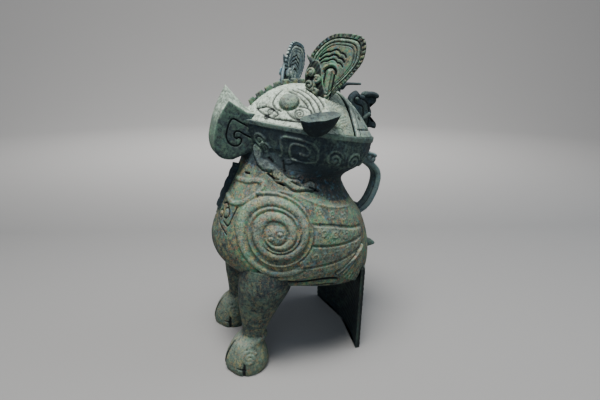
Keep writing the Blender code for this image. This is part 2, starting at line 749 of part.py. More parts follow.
def breast_carving():
    """Curling dragons on the shoulders, and a looped band and a mask on the breast."""
    shapes = []
    # Angle from the front, drop below the neck as a share of the body's height
    dragon = ((24, -0.065), (40, 0.0), (56, 0.0), (68, 0.065), (80, 0.095))
    loop = ((46, 0.120), (39, 0.190), (26, 0.258), (14, 0.262), (12, 0.20), (24, 0.155))
    for lines, steps in ((dragon, 7), (loop, 9)):
        path = curve([(math.radians(angle), NECK_Z - drop * BODY_HEIGHT) for angle, drop in lines], steps)
        shapes.append(band(lambda s, t: ring_point(t, s), path, CARVED_LINE, 0.7 * RELIEF))
    curl = girth_patch(math.radians(33), NECK_Z + 0.008)
    shapes.append(boss(curl, 0.007, RELIEF, 8))
    mask = girth_patch(math.radians(17), NECK_Z - 0.056)
    shapes.append(boss(mask, 0.009, RELIEF, 8))
    return both_sides(shapes)


def rim_height(y):
    """Height of the tilted rim of the head at a given y."""
    return ring_point(RIM_Z, math.pi / 2).z + HEAD_RINGS[-1][4] * (y - HEAD_SET_BACK)


def block(name, y_low, y_high, bottom, top):
    """A wide block across the head whose bottom is a function of y, used as a cutter."""
    wide = HEAD_WIDTH
    corners = ((y_low, bottom(y_low)), (y_high, bottom(y_high)), (y_high, top), (y_low, top))
    return loft(name, [[Vector((x, y, z)) for y, z in corners] for x in (-wide, wide)])


def vessel_body():
    body = skin("vessel_body", 0.0, SKIN_COUNTS)
    top = RIM_Z + 2 * DOME_HEIGHT
    back_y = LID_FRONT_Y + HEAD_LENGTH
    mouth = block("mouth", LID_FRONT_Y, back_y, lambda y: rim_height(y) - MOUTH_TRIM, top)
    boolean(body, mouth, "DIFFERENCE")
    limbs = legs() + [tail(), rump_beak(), beak(), handle(), handle_head()] + ears() + crests() + ridges()
    carving = wing_carving() + head_carving() + breast_carving()
    boolean(body, joined("limbs", limbs + carving), "UNION", use_self=True)
    boolean(body, skin("cavity", WALL, CAVITY_COUNTS), "DIFFERENCE")
    return body


def lid_shell(inset, drop):
    """The dome behind the mouth's front edge, at an inset from the line of the face, down to the rim."""
    steps, _, _, levels = SKIN_COUNTS
    turn = angles(steps)
    gap = Vector((0, 0, SEAT_GAP))
    rings = []
    if drop:
        rings.append([dome_point(1.0, a, inset) + gap - Vector((0, 0, drop)) for a in turn])
    for level in range(levels):
        rings.append([dome_point(dome_share(level, levels), a, inset) + gap for a in turn])
    return loft("lid", rings, dome_point(0.0, 0.0, inset) + gap)


def lid_bird():
    """A small bird on a post at the front of the lid, looking over the face, with a rod-like tail."""
    post_y = LID_FRONT_Y + LID_GAP + LID_BIRD_INSET
    base = RIM_Z + 0.78 * DOME_HEIGHT
    tall = LID_BIRD_HEIGHT
    # Share of the length back from the beak, middle height, half-width, half-height
    stations = (
        (0.00, 0.98, 0.0010, 0.0010),
        (0.09, 1.00, 0.0038, 0.0040),
        (0.18, 0.80, 0.0045, 0.0052),
        (0.34, 0.62, 0.0048, 0.0050),
        (0.48, 0.82, 0.0026, 0.0024),
        (1.00, 0.82, 0.0020, 0.0016),
    )
    rings = []
    for share, level, half, reach in stations:
        centre = Vector((0, post_y + LID_BIRD_LENGTH * (share - 0.18), base + tall * level))
        rings.append([centre + Vector((half * math.sin(a), 0, reach * math.cos(a))) for a in angles(8)])
    post = []
    for height in (-0.7 * tall, 0.5 * tall):
        centre = Vector((0, post_y, base + height))
        post.append([centre + LID_POST_RADIUS * Vector((math.sin(a), math.cos(a), 0)) for a in angles(8)])
    return [loft("bird", rings), loft("bird_post", post)]


def lid_dragon():
    """A dragon that climbs the back of the lid: a wedge head, a horn that points back and a curled tail."""
    back = dome_point(1.0, math.pi).y
    # Distance behind the foot of the dome and height above the rim, once around the dragon's side
    outline = (
        (-0.0250, 0.0270),
        (-0.0225, 0.0425),
        (-0.0123, 0.0497),
        (-0.0094, 0.0455),
        (0.0052, 0.0425),
        (0.0195, 0.0415),
        (0.0205, 0.0340),
        (0.0090, 0.0315),
        (0.0135, 0.0200),
        (0.0140, 0.0040),
        (0.0235, 0.0005),
        (0.0230, -0.0060),
        (0.0131, -0.0040),
        (0.0010, -0.0070),
        (-0.0070, 0.0010),
        (-0.0150, 0.0140),
    )
    middle = Vector((0, 0.0040, 0.0210))
    rings = []
    for share, scale in ((-1.0, 0.86), (-0.55, 1.0), (0.55, 1.0), (1.0, 0.86)):
        ring = []
        for y, z in outline:
            place = middle.lerp(Vector((0, y, z)), scale)
            ring.append(Vector((0.5 * LID_DRAGON_THICKNESS * share, back + place.y, RIM_Z + place.z)))
        rings.append(ring)
    return [loft("dragon", rings)]


def lid():
    """The loose lid: a thin dome resting on the rim of the mouth, with a bird and a dragon cast on it."""
    outer = -LID_PROUD
    shell = lid_shell(outer, 0.0)
    figures = joined("figures", lid_bird() + lid_dragon())
    boolean(shell, figures, "UNION", use_self=True)
    boolean(shell, lid_shell(outer + WALL, WALL), "DIFFERENCE")
    front_y = LID_FRONT_Y + LID_GAP
    back = block("back", front_y, front_y + HEAD_LENGTH, lambda y: 0.0, RIM_Z + 3 * DOME_HEIGHT)
    boolean(shell, back, "INTERSECT")
    return shell


def finish(made, name):
    """Cleans a solid, gives it its bronze and shades it smooth between sharp edges."""
    shape = bmesh.new()
    shape.from_mesh(made.data)
    bmesh.ops.remove_doubles(shape, verts=shape.verts, dist=2e-6)
    shape.to_mesh(made.data)
    shape.free()
    bronze = bpy.data.materials.new(name + "_bronze")
    bronze.use_nodes = True
    surface = bronze.node_tree.nodes["Principled BSDF"]
    surface.inputs["Base Color"].default_value = BRONZE
    surface.inputs["Roughness"].default_value = BRONZE_ROUGHNESS
    surface.inputs["Metallic"].default_value = BRONZE_METALLIC
    made.data.materials.clear()
    made.data.materials.append(bronze)
    made.data.shade_smooth()
    made.data.set_sharp_from_angle(angle=math.radians(38))
    made.name = name


def stand_on_origin(solids):
    """Moves everything so that the origin lies on the floor under the middle of the whole."""
    corners = [vertex.co for made in solids for vertex in made.data.vertices]
    low = [min(corner[axis] for corner in corners) for axis in range(3)]
    high = [max(corner[axis] for corner in corners) for axis in range(3)]
    shift = Vector((-(low[0] + high[0]) / 2, -(low[1] + high[1]) / 2, -low[2]))
    for made in solids:
        for vertex in made.data.vertices:
            vertex.co += shift


def main():
    for old in list(bpy.data.objects):
        bpy.data.objects.remove(old)
    solids = [vessel_body(), lid()]
    for made, name in zip(solids, ("vessel_body", "lid")):
        finish(made, name)
    stand_on_origin(solids)


main()
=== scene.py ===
"""The looks of an owl-shaped bronze wine vessel: carved skin, crests, lid and patina around its CAD frame.

The owl faces -Y. Every piece is a grid of points worked out with numpy, in metres, and its height above
the plain skin is kept as an attribute, so that the bronze paints shade into its grooves and hollows and
brightens its ridges.
"""

import math

import bpy
import numpy as np
from bpy.props import FloatProperty, FloatVectorProperty, PointerProperty
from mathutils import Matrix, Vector


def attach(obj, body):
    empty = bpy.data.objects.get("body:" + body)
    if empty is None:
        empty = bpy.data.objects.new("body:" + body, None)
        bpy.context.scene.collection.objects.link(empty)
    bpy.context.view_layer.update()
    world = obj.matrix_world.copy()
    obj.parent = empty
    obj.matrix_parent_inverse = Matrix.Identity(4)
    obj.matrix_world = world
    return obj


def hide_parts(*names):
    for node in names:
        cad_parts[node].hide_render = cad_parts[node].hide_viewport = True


bl_info = {
    "name": "Owl vessel",
    "version": (1, 0, 0),
    "blender": (4, 5, 0),
    "location": "3D View > Sidebar > Owl vessel",
    "description": "Builds a carved bronze owl vessel around its CAD frame",
    "category": "Add Mesh",
}

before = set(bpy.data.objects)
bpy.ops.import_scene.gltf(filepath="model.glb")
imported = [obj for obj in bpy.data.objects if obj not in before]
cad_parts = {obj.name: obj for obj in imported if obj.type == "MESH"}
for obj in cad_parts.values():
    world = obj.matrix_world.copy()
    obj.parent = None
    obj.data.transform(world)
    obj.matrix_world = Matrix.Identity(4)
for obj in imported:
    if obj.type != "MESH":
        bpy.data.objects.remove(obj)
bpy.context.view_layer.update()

# The middle of the whole vessel lies this far behind the middle of its body
SET_BACK = 0.0145

# Ring stations: share of the height, then front, back and half-width shares, tilt, front squareness
BODY_RINGS = (
    (0.00, 0.350, 0.430, 0.350, -0.18, 2.3),
    (0.05, 0.425, 0.470, 0.425, -0.18, 2.3),
    (0.16, 0.482, 0.495, 0.478, -0.14, 2.3),
    (0.35, 0.500, 0.484, 0.500, -0.06, 2.2),
    (0.56, 0.468, 0.426, 0.490, 0.00, 2.2),
    (0.75, 0.402, 0.352, 0.432, -0.06, 2.2),
    (0.90, 0.336, 0.308, 0.362, -0.14, 2.1),
    (1.00, 0.300, 0.300, 0.335, -0.21, 2.0),
)
HEAD_RINGS = (
    (0.17, 0.535, 0.235, 0.440, -0.24, 1.8),
    (0.33, 0.550, 0.305, 0.480, -0.24, 1.65),
    (0.70, 0.575, 0.385, 0.495, -0.19, 1.6),
    (1.00, 0.585, 0.415, 0.500, -0.16, 1.6),
)
BACK_SQUARENESS = 2.2
DOME_FULLNESS = 2.4
BELLY_Z = 0.124
NECK_Z = 0.286
RIM_Z = 0.340
CROWN_Y = 0.030
OTHER_SIDE = np.array((-1, 1, 1))


def length(name, default, description):
    return FloatProperty(name=name, description=description, default=default, min=0.0, unit="LENGTH")


def colour(name, default, description):
    return FloatVectorProperty(
        name=name, description=description, default=default, size=3, subtype="COLOR", min=0.0, max=1.0
    )


def share(name, default, description):
    return FloatProperty(
        name=name, description=description, default=default, min=0.0, max=1.0, subtype="FACTOR"
    )


class OwlSizes(bpy.types.PropertyGroup):
    """Sizes of the vessel and of its carving."""

    body_height: length("Body height", 0.162, "Belly underside to the neck")
    body_length: length("Body length", 0.244, "Breast to rump")
    body_width: length("Body width", 0.206, "Across both wings")
    head_length: length("Head length", 0.194, "Beak root to the back rim")
    head_width: length("Head width", 0.174, "Across the rim of the head")
    head_set_back: length("Head set back", 0.035, "Widest place of the head behind that of the body")
    dome_height: length("Dome height", 0.058, "Rim to the crown of the head")
    ledge: length("Ledge", 0.005, "Flat rim around the foot of the dome")
    wall: length("Wall", 0.0045, "Thickness of the casting")
    relief: length("Carving height", 0.0030, "How far the boldest carving stands proud")
    groove: length("Groove depth", 0.0022, "How deep the lines between feathers are cut")
    fine: length("Fine lines", 0.0009, "Height of the fine lines and small rings")
    lid_front: length("Lid front", 0.059, "Where the face ends, behind the body's middle")
    lid_gap: length("Lid gap", 0.0025, "Open joint between the face and the lid")
    lid_proud: length("Lid proud", 0.0035, "How far the lid stands above the line of the face")
    crest_height: length("Crest height", 0.0874, "Foot to top of the near crest")
    far_crest_height: length("Far crest height", 0.079, "Foot to top of the far crest")
    crest_width: length("Crest width", 0.0755, "Across a crest at its broadest")
    crest_thickness: length("Crest thickness", 0.0055, "Plate of a crest")
    handle_width: length("Handle width", 0.024, "Strap of the handle")
    handle_thickness: length("Handle thickness", 0.011, "Strap of the handle")
    foot_width: length("Foot width", 0.064, "Across one foot")
    foot_length: length("Foot length", 0.066, "Toe to heel of one foot")
    tail_width: length("Tail width", 0.162, "Across the tail")
    beak_width: length("Beak width", 0.046, "Across the beak")


class OwlColours(bpy.types.PropertyGroup):
    """Colours and amounts of the patina."""

    slate: colour("Slate", (0.019, 0.029, 0.034), "Dark bronze in the shade of the carving")
    green: colour("Grey green", (0.105, 0.150, 0.115), "Even patina over most of the vessel")
    malachite: colour("Malachite", (0.050, 0.185, 0.100), "Bright green crust")
    azurite: colour("Azurite", (0.050, 0.135, 0.210), "Blue crust")
    cuprite: colour("Cuprite", (0.330, 0.130, 0.060), "Red-brown specks")
    blue_film: colour("Blue film", (0.150, 0.215, 0.270), "Thin film on the far crest and the handle")
    ochre: colour("Ochre", (0.330, 0.290, 0.120), "Earth left in the carving")
    pale: colour("Pale dust", (0.510, 0.585, 0.500), "Dry pale film on surfaces that face up")
    # Groove: near black, the painted shade at the bottom of grooves and hollows; the random pits use it too
    groove: colour("Groove", (0.006, 0.008, 0.010), "Dirt at the bottom of grooves")
    dust: share("Dust", 0.55, "How much pale film lies on surfaces that face up")
    floor: colour("Floor", (0.30, 0.295, 0.29), "Plain floor under the vessel")


def sizes():
    return bpy.context.scene.owl_sizes


def colours():
    return bpy.context.scene.owl_colours


def columns(table, t):
    """Columns of a table at t: cubic Hermite curves through its rows, each slope from the rows beside it."""
    rows = np.asarray(table, float)
    keys = rows[:, 0]
    last = len(keys) - 1
    t = np.clip(np.asarray(t, float), keys[0], keys[-1])
    i = np.clip(np.searchsorted(keys, t, side="right") - 1, 0, last - 1)
    k = np.arange(last + 1)
    above, below = np.minimum(k + 1, last), np.maximum(k - 1, 0)
    slopes = (rows[above] - rows[below]) / (keys[above] - keys[below])[:, None]
    step = (keys[i + 1] - keys[i])[..., None]
    f = ((t - keys[i]) / (keys[i + 1] - keys[i]))[..., None]
    out = (2 * f**3 - 3 * f**2 + 1) * rows[i] + (f**3 - 2 * f**2 + f) * step * slopes[i]
    out = out + (3 * f**2 - 2 * f**3) * rows[i + 1] + (f**3 - f**2) * step * slopes[i + 1]
    return [out[..., column] for column in range(1, rows.shape[1])]


def curve(points, count):
    """Points evenly spaced in parameter along a smooth curve through a few given ones."""
    points = np.asarray(points, float)
    keys = np.arange(len(points))
    table = np.column_stack((keys, points))
    return np.stack(columns(table, np.linspace(0, len(points) - 1, count + 1)), axis=-1)


def ring_table():
    """Ring stations in metres: height, front reach, back reach, half width, tilt, squareness, middle y."""
    s = sizes()
    rows = []
    for height, front, back, half, tilt, square in BODY_RINGS:
        z = BELLY_Z + height * s.body_height
        reach = (front * s.body_length, back * s.body_length, half * s.body_width)
        rows.append((z, *reach, tilt, square, 0.0))
    for height, front, back, half, tilt, square in HEAD_RINGS:
        z = NECK_Z + height * (RIM_Z - NECK_Z)
        reach = (front * s.head_length, back * s.head_length, half * s.head_width)
        rows.append((z, *reach, tilt, square, s.head_set_back))
    return rows


def power(value, exponent):
    return np.sign(value) * np.abs(value) ** exponent


def ring_points(z, angle, inset=0.0):
    """The skin: a superellipse ring at height z, drawn in by inset, tilted about its middle line.

    The angle runs from the front towards +X. x = half * |sin|^p and y = middle - reach * |cos|^p, where
    p is 2 over the squareness, and the height rises by tilt for each metre behind the middle.
    """
    front, back, half, tilt, square, middle = columns(ring_table(), z)
    c, s = np.cos(angle), np.sin(angle)
    exponent = 2 / np.where(c > 0, square, BACK_SQUARENESS)
    reach = np.where(c > 0, front, back) - inset
    x = (half - inset) * power(s, exponent)
    y = middle - reach * power(c, exponent)
    return np.stack((x, y, z + tilt * (y - middle)), axis=-1)


def dome_points(out, angle, inset=0.0):
    """The dome above the rim: out is 1 at its foot and 0 at the crown, and it falls as 1 - out^2.4."""
    s = sizes()
    rim = ring_points(np.full(np.shape(angle), RIM_Z), angle, s.ledge + inset)
    y = CROWN_Y + (rim[..., 1] - CROWN_Y) * out
    base = RIM_Z + (rim[..., 2] - RIM_Z) * out
    z = base + (s.dome_height - inset) * (1 - out**DOME_FULLNESS)
    return np.stack((rim[..., 0] * out, y, z), axis=-1)


def on_ring(degrees, centimetres):
    """Places of the skin from angles in degrees and ring heights in centimetres."""
    return ring_points(np.asarray(centimetres, float) / 100, np.radians(degrees))


def on_dome(degrees, out):
    return dome_points(np.asarray(out, float), np.radians(degrees))


def smooth(value, low, high):
    """0 below low, 1 above high, and a smooth step between."""
    f = np.clip((value - low) / (high - low), 0, 1)
    return f * f * (3 - 2 * f)


def plateau(value, start, full, fall, end):
    """1 from full to fall, 0 before start and after end, with smooth steps between."""
    return smooth(value, start, full) * (1 - smooth(value, fall, end))


def full_turn(count):
    """Angles once around, evenly spaced, without the last one that would repeat the first."""
    return np.linspace(0, 2 * math.pi, count, endpoint=False)


def spread(rows, angle):
    """The row values and the angles of a grid, each repeated over the whole of it."""
    return np.broadcast_arrays(rows[:, None], angle)


def turned(angle, low, high):
    """0 up to low degrees from the front, 1 from high degrees on, and a smooth step between."""
    return smooth(np.degrees(np.abs(angle)), low, high)


def there_and_back(rows):
    return np.concatenate((rows, rows[::-1]))


def mirrored(points):
    """Points folded to the owl's near side, so that both sides carry the same carving."""
    return np.concatenate((np.abs(points[..., :1]), points[..., 1:]), axis=-1)


def nearest(points, path, reach=0.02):
    """Distance from each point to a path of straight pieces, and the share of the way along it.

    Only the points within reach of the path's box are worked out. The others get a large distance.
    """
    path = np.asarray(path, float)
    flat = points.reshape(-1, points.shape[-1])
    close = np.all((flat > path.min(axis=0) - reach) & (flat < path.max(axis=0) + reach), axis=1)
    part = flat[close]
    best = np.full(len(part), 1e3)
    way = np.zeros(len(part))
    steps = np.diff(path, axis=0)
    lengths = np.linalg.norm(steps, axis=1)
    starts = np.concatenate(((0,), np.cumsum(lengths))) / max(lengths.sum(), 1e-9)
    for start, step, size, along, ahead in zip(path[:-1], steps, lengths, starts[:-1], starts[1:]):
        f = np.clip(((part - start) @ step) / max(size * size, 1e-12), 0, 1)
        gap = np.linalg.norm(part - start - f[:, None] * step, axis=1)
        nearer = gap < best
        best = np.where(nearer, gap, best)
        way = np.where(nearer, along + (ahead - along) * f, way)
    distance, share_along = np.full(len(flat), 1e3), np.zeros(len(flat))
    distance[close], share_along[close] = best, way
    return distance.reshape(points.shape[:-1]), share_along.reshape(points.shape[:-1])


def gap_to(points, path):
    """Distance from each point to a path."""
    return nearest(points, path)[0]


def rounded(distance, half):
    """A rounded ridge: 1 on the line, falling as a circle's arc to 0 at half."""
    return np.sqrt(np.clip(1 - (distance / half) ** 2, 0, 1))


def flat_top(distance, half, edge=0.0012):
    return 1 - smooth(distance, half - edge, half + edge)


def cut(distance, half):
    """A groove: 1 on the line and 0 from half on."""
    return 1 - smooth(distance, 0.15 * half, half)


def cuts(points, paths, half):
    """Grooves along several paths, added up."""
    return sum(cut(gap_to(points, path), half) for path in paths)


def spiral_line(centre, across, up, radius, inner, turns, start, count=60):
    """A flat spiral in space, from its outer end inward, around a centre with two unit directions."""
    f = np.linspace(0, 1, count)
    a = start + 2 * math.pi * turns * f
    reach = radius + (inner - radius) * f
    centre, across, up = (np.asarray(v, float) for v in (centre, across, up))
    return centre + (reach * np.cos(a))[:, None] * across + (reach * np.sin(a))[:, None] * up


def tangents(surface, a, b, step_a, step_b):
    """Unit directions of a surface at (a, b) along its first and its second coordinate."""
    first = surface(a + step_a, b) - surface(a - step_a, b)
    second = surface(a, b + step_b) - surface(a, b - step_b)
    return first / np.linalg.norm(first), second / np.linalg.norm(second)


def even_angles(count, z, front, sparse):
    """Angles that step evenly along the ring at height z, and wider by 1 / sparse behind front degrees."""
    fine = np.linspace(-math.pi, math.pi, 4001)
    ring = ring_points(np.full(fine.shape, z), fine)
    middle = 0.5 * (fine[1:] + fine[:-1])
    weight = np.where(np.abs(middle) < math.radians(front), 1.0, sparse)
    steps = np.linalg.norm(np.diff(ring, axis=0), axis=1) * weight
    run = np.concatenate(((0,), np.cumsum(steps)))
    return np.interp(np.arange(count) / count * run[-1], run, fine)


def grid_normals(grid):
    """Unit normals of a grid whose columns wrap around the vessel.

    They point outward where the rows run upward, and inward where they run downward.
    """
    around = np.roll(grid, -1, axis=1) - np.roll(grid, 1, axis=1)
    up = np.gradient(grid, axis=0)
    normal = np.cross(around, up)
    return normal / np.maximum(np.linalg.norm(normal, axis=-1, keepdims=True), 1e-12)


def raise_grid(grid, height):
    return grid + grid_normals(grid) * height[..., None]


def merge_rings(first, second, count):
    """Rings between two given ones, by straight steps."""
    f = np.linspace(0, 1, count + 2)[1:-1, None, None]
    return first + (second - first) * f


class Solid:
    """One closed mesh: rings of equal counts, capped by a middle point at each end or closed in a loop."""

    def __init__(self, rings, relief=None, tone=None, loop=False):
        self.rings = np.asarray(rings, float)
        shape = self.rings.shape[:2]
        self.relief = np.zeros(shape) if relief is None else np.broadcast_to(relief, shape)
        self.tone = np.zeros(shape) if tone is None else np.broadcast_to(tone, shape)
        self.loop = loop

    def faces(self):
        rows, n = self.rings.shape[:2]
        i = np.arange(n)
        j = (i + 1) % n
        first = np.arange(rows if self.loop else rows - 1)[:, None] * n
        second = (first + n) % (rows * n)
        quads = np.stack((first + i, first + j, second + j, second + i), axis=-1).reshape(-1, 4)
        if self.loop:
            return quads, np.zeros((0, 3), int)
        low = np.stack((j, i, np.full(n, rows * n)), axis=-1)
        top = (rows - 1) * n
        high = np.stack((top + i, top + j, np.full(n, rows * n + 1)), axis=-1)
        return quads, np.concatenate((low, high))

    def data(self):
        flat = [self.rings.reshape(-1, 3), self.relief.ravel(), self.tone.ravel()]
        if not self.loop:
            for k, rows in enumerate((self.rings, self.relief, self.tone)):
                ends = np.stack((rows[0].mean(axis=0), rows[-1].mean(axis=0)))
                flat[k] = np.concatenate((flat[k], ends))
        return flat


def signed_volume(a, b, c):
    """Six times the volume between the origin and triangles, less than 0 where they face inward."""
    return np.einsum("ij,ij->", a, np.cross(b, c))


def make_piece(name, solids, kind, node="vessel_body"):
    """One object from closed solids, facing outward, with its carving height and tone as attributes."""
    points, relief, tone, quads, triangles = [], [], [], [], []
    start = 0
    for solid in solids:
        co, high, pale = solid.data()
        four, three = solid.faces()
        a, b, c, d = np.moveaxis(co[four], 1, 0)
        volume = signed_volume(a, b, c) + signed_volume(a, c, d)
        volume += signed_volume(*np.moveaxis(co[three], 1, 0))
        if volume < 0:
            four, three = four[:, ::-1], three[:, ::-1]
        points.append(co)
        relief.append(high)
        tone.append(pale)
        quads.append(four + start)
        triangles.append(three + start)
        start += len(co)
    points = np.concatenate(points) - np.array((0, SET_BACK, 0))
    quads, triangles = np.concatenate(quads), np.concatenate(triangles)
    mesh = bpy.data.meshes.new(name)
    mesh.vertices.add(len(points))
    mesh.vertices.foreach_set("co", points.astype(np.float32).ravel())
    corners = np.concatenate((quads.ravel(), triangles.ravel()))
    mesh.loops.add(len(corners))
    mesh.loops.foreach_set("vertex_index", corners.astype(np.int32))
    mesh.polygons.add(len(quads) + len(triangles))
    starts = np.concatenate((np.arange(len(quads)) * 4, quads.size + np.arange(len(triangles)) * 3))
    mesh.polygons.foreach_set("loop_start", starts.astype(np.int32))
    mesh.update(calc_edges=True)
    for label, values in (("relief", relief), ("tone", tone)):
        layer = mesh.attributes.new(label, "FLOAT", "POINT")
        layer.data.foreach_set("value", np.concatenate(values).astype(np.float32))
    mesh.validate()
    mesh.shade_smooth()
    mesh.materials.append(bronze(kind))
    piece = bpy.data.objects.new(name, mesh)
    bpy.context.scene.collection.objects.link(piece)
    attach(piece, "root")
    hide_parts(node)
    return piece


# Carving of the body and the neck

# Turns from the bottom clockwise, and the distance of each ridge from the middle of the coil, in centimetres
COIL_MIDDLE = (-0.0510, 0.2175)
WIDE_COIL = (
    (-0.10, 5.75), (0.0, 5.48), (0.25, 4.06), (0.5, 3.98), (0.75, 3.72), (1.0, 2.93),
    (1.25, 2.26), (1.5, 2.20), (1.75, 2.10), (2.0, 1.62), (2.2, 1.25),
)
THIN_COIL = (
    (-0.55, 4.90), (-0.25, 4.70), (0.0, 4.22), (0.25, 3.12), (0.5, 3.14), (0.75, 2.95),
    (1.0, 2.26), (1.25, 1.72), (1.4, 1.60),
)

# Lines of the wing as it is seen from the side: y and z in centimetres
FEATHER_LINES = (
    ((-0.20, 22.75), (2.66, 22.23), (5.60, 21.37), (7.90, 20.90)),
    ((-0.60, 20.10), (2.05, 19.73), (4.75, 19.56), (8.10, 19.65)),
    ((-3.90, 17.02), (-0.98, 17.00), (2.16, 17.13), (4.80, 17.48), (7.30, 18.10)),
    ((-6.60, 15.00), (-3.31, 15.05), (-0.39, 15.30), (2.33, 15.52), (4.82, 15.90), (7.30, 17.10)),
)
FEATHER_HALVES = (0.0024, 0.0024, 0.0024, 0.0030)
BELLY_LINE = ((-9.0, 17.9), (-6.83, 15.3), (-3.08, 14.05), (1.82, 14.0), (4.6, 13.2))
SHOULDER_LINE = ((-3.79, 26.85), (-1.80, 26.35), (-0.31, 25.61), (1.12, 24.96), (3.4, 24.3), (6.0, 23.9))
SMALL_RINGS = (
    (1.08, 21.55), (2.75, 21.10), (4.45, 20.65), (0.81, 24.23), (2.62, 23.57), (4.55, 22.95),
    (-0.10, 18.50), (1.50, 18.45), (3.18, 18.48), (4.85, 18.62), (6.35, 18.85), (6.0, 20.5),
)
FAN_START, FAN_TURN = (7.75, 18.3), ((3.6, 15.2), (7.5, 12.3))
FAN_RIDGES = 7


def side_table(lines):
    return np.asarray(lines, float) / 100


def side_curve(line, count=24):
    return curve(side_table(line), count)


def coil_carving(y, z):
    """Height and line mask of the snake coil: a wide and a thin rounded ridge wound about its middle.

    Each place has a turn, its angle from the bottom clockwise over a full circle, and the ridges lie at
    radii read from a table at that turn and at one and two turns more.
    """
    s = sizes()
    dy, dz = y - COIL_MIDDLE[0], z - COIL_MIDDLE[1]
    reach = np.hypot(dy, dz)
    turn = np.mod(np.arctan2(-dy, -dz) / (2 * math.pi), 1.0)
    high = np.zeros(y.shape)
    outer = np.zeros(y.shape)
    # Below the coil's middle the ridges narrow and the floor between them sinks deeper, so the relief paints
    # more shade there: painted shade of light from above on the coil's lower half
    lower = 1 - smooth(dz, -0.030, 0.010)
    for table, broad, rise in ((WIDE_COIL, 0.0055, s.relief), (THIN_COIL, 0.0019, 0.72 * s.relief)):
        half = broad * (1 - 0.20 * lower)
        rows = np.asarray(table)
        for whole in (-1, 0, 1, 2):
            at = turn + whole
            valid = (at >= rows[0, 0]) & (at <= rows[-1, 0])
            radius = columns(rows, at)[0] / 100
            thin = np.clip((rows[-1, 0] - at) * 3, 0.35, 1)
            high = np.maximum(high, np.where(valid, rise * rounded(reach - radius, half * thin), 0))
            outer = np.maximum(outer, np.where(valid, radius + half, 0))
    high = np.maximum(high, rise_of_head(dy, dz))
    inside = 1 - smooth(reach, outer, outer + 0.002)
    sunk = (0.7 + 0.9 * lower) * s.groove
    high = high - sunk * inside * (1 - smooth(high, 0.0, 0.4 * s.relief))
    return high, inside


def rise_of_head(dy, dz):
    """The snake's head in the middle: a low dome with two round eyes and a snout."""
    s = sizes()
    head = 1.25 * s.relief * rounded(np.hypot(dy * 0.95, dz + 0.001), 0.0125)
    for eye_y, eye_z in ((-0.0062, -0.0050), (0.0052, 0.0008)):
        gap = np.hypot(dy - eye_y, dz - eye_z)
        head = head + 0.0010 * rounded(gap, 0.0026) - 0.0011 * cut(np.abs(gap - 0.0036), 0.0012)
    return head


def wing_carving(y, z):
    """Height of the wing's carving at places seen from the side."""
    s = sizes()
    place = np.stack((y, z), axis=-1)
    coil, inside = coil_carving(y, z)
    upper = side_table(FEATHER_LINES[0])
    lower = side_table(FEATHER_LINES[3])
    top = np.interp(y, upper[:, 0], upper[:, 1])
    bottom = np.interp(y, lower[:, 0], lower[:, 1])
    behind = smooth(y, -0.066, -0.058)
    feathers = behind * smooth(z, bottom - 0.0012, bottom + 0.0012)
    above = smooth(z, top - 0.001, top + 0.001)
    shoulder = np.interp(y, (-0.12, -0.038, 0.06, 0.12), (0.262, 0.2685, 0.239, 0.236))
    fade = 1 - smooth(z, shoulder - 0.002, shoulder + 0.002)
    flat = (0.80 - 0.35 * above) * s.relief * feathers * fade
    rear = 1 - smooth(y, 0.074, 0.082)
    high = flat * (1 - inside) * rear + coil
    shallow = np.zeros(y.shape)
    for line, half in zip(FEATHER_LINES, FEATHER_HALVES):
        gap = gap_to(place, side_curve(line))
        shallow = np.maximum(shallow, cut(gap, half))
    high = high - (s.groove + 0.8 * s.relief) * shallow * np.where(inside > 0.5, 0.15, 1.0)
    gap = gap_to(place, side_curve(BELLY_LINE))
    high = np.maximum(high, 0.55 * s.relief * rounded(gap, 0.0035))
    beside = cut(np.abs(gap - 0.0055), 0.0032) * plateau(y, -0.085, -0.060, 0.030, 0.045)
    high = high - 1.2 * s.groove * beside
    gap = gap_to(place, side_curve(SHOULDER_LINE))
    high = high + 0.35 * s.relief * rounded(gap, 0.0016) * (1 - inside)
    for ring_y, ring_z in SMALL_RINGS:
        gap = np.hypot(y - ring_y / 100, z - ring_z / 100)
        high = high + s.fine * (cut(np.abs(gap - 0.0036), 0.0015) + rounded(gap, 0.0014)) * (1 - inside)
    return high + fan_carving(place)


def fan_carving(place):
    """Ribs of the small fan under the long feathers, from one root to a straight edge."""
    s = sizes()
    first, last = side_table(FAN_TURN)
    root = side_table(FAN_START)
    high = np.zeros(place.shape[:-1])
    close = np.ones(place.shape[:-1])
    for k in range(FAN_RIDGES):
        end = first + (last - first) * k / (FAN_RIDGES - 1)
        bend = 0.5 * (root + end) + np.array((0.0035, -0.0005))
        gap, along = nearest(place, curve((root, bend, end), 10))
        high = np.maximum(high, 0.9 * s.relief * rounded(gap, 0.0010 + 0.0021 * along))
        close = np.minimum(close, gap)
    between = (1 - smooth(close, 0.0030, 0.0045)) * (1 - smooth(high, 0.0, 0.5 * s.relief))
    return high - 0.9 * s.groove * between


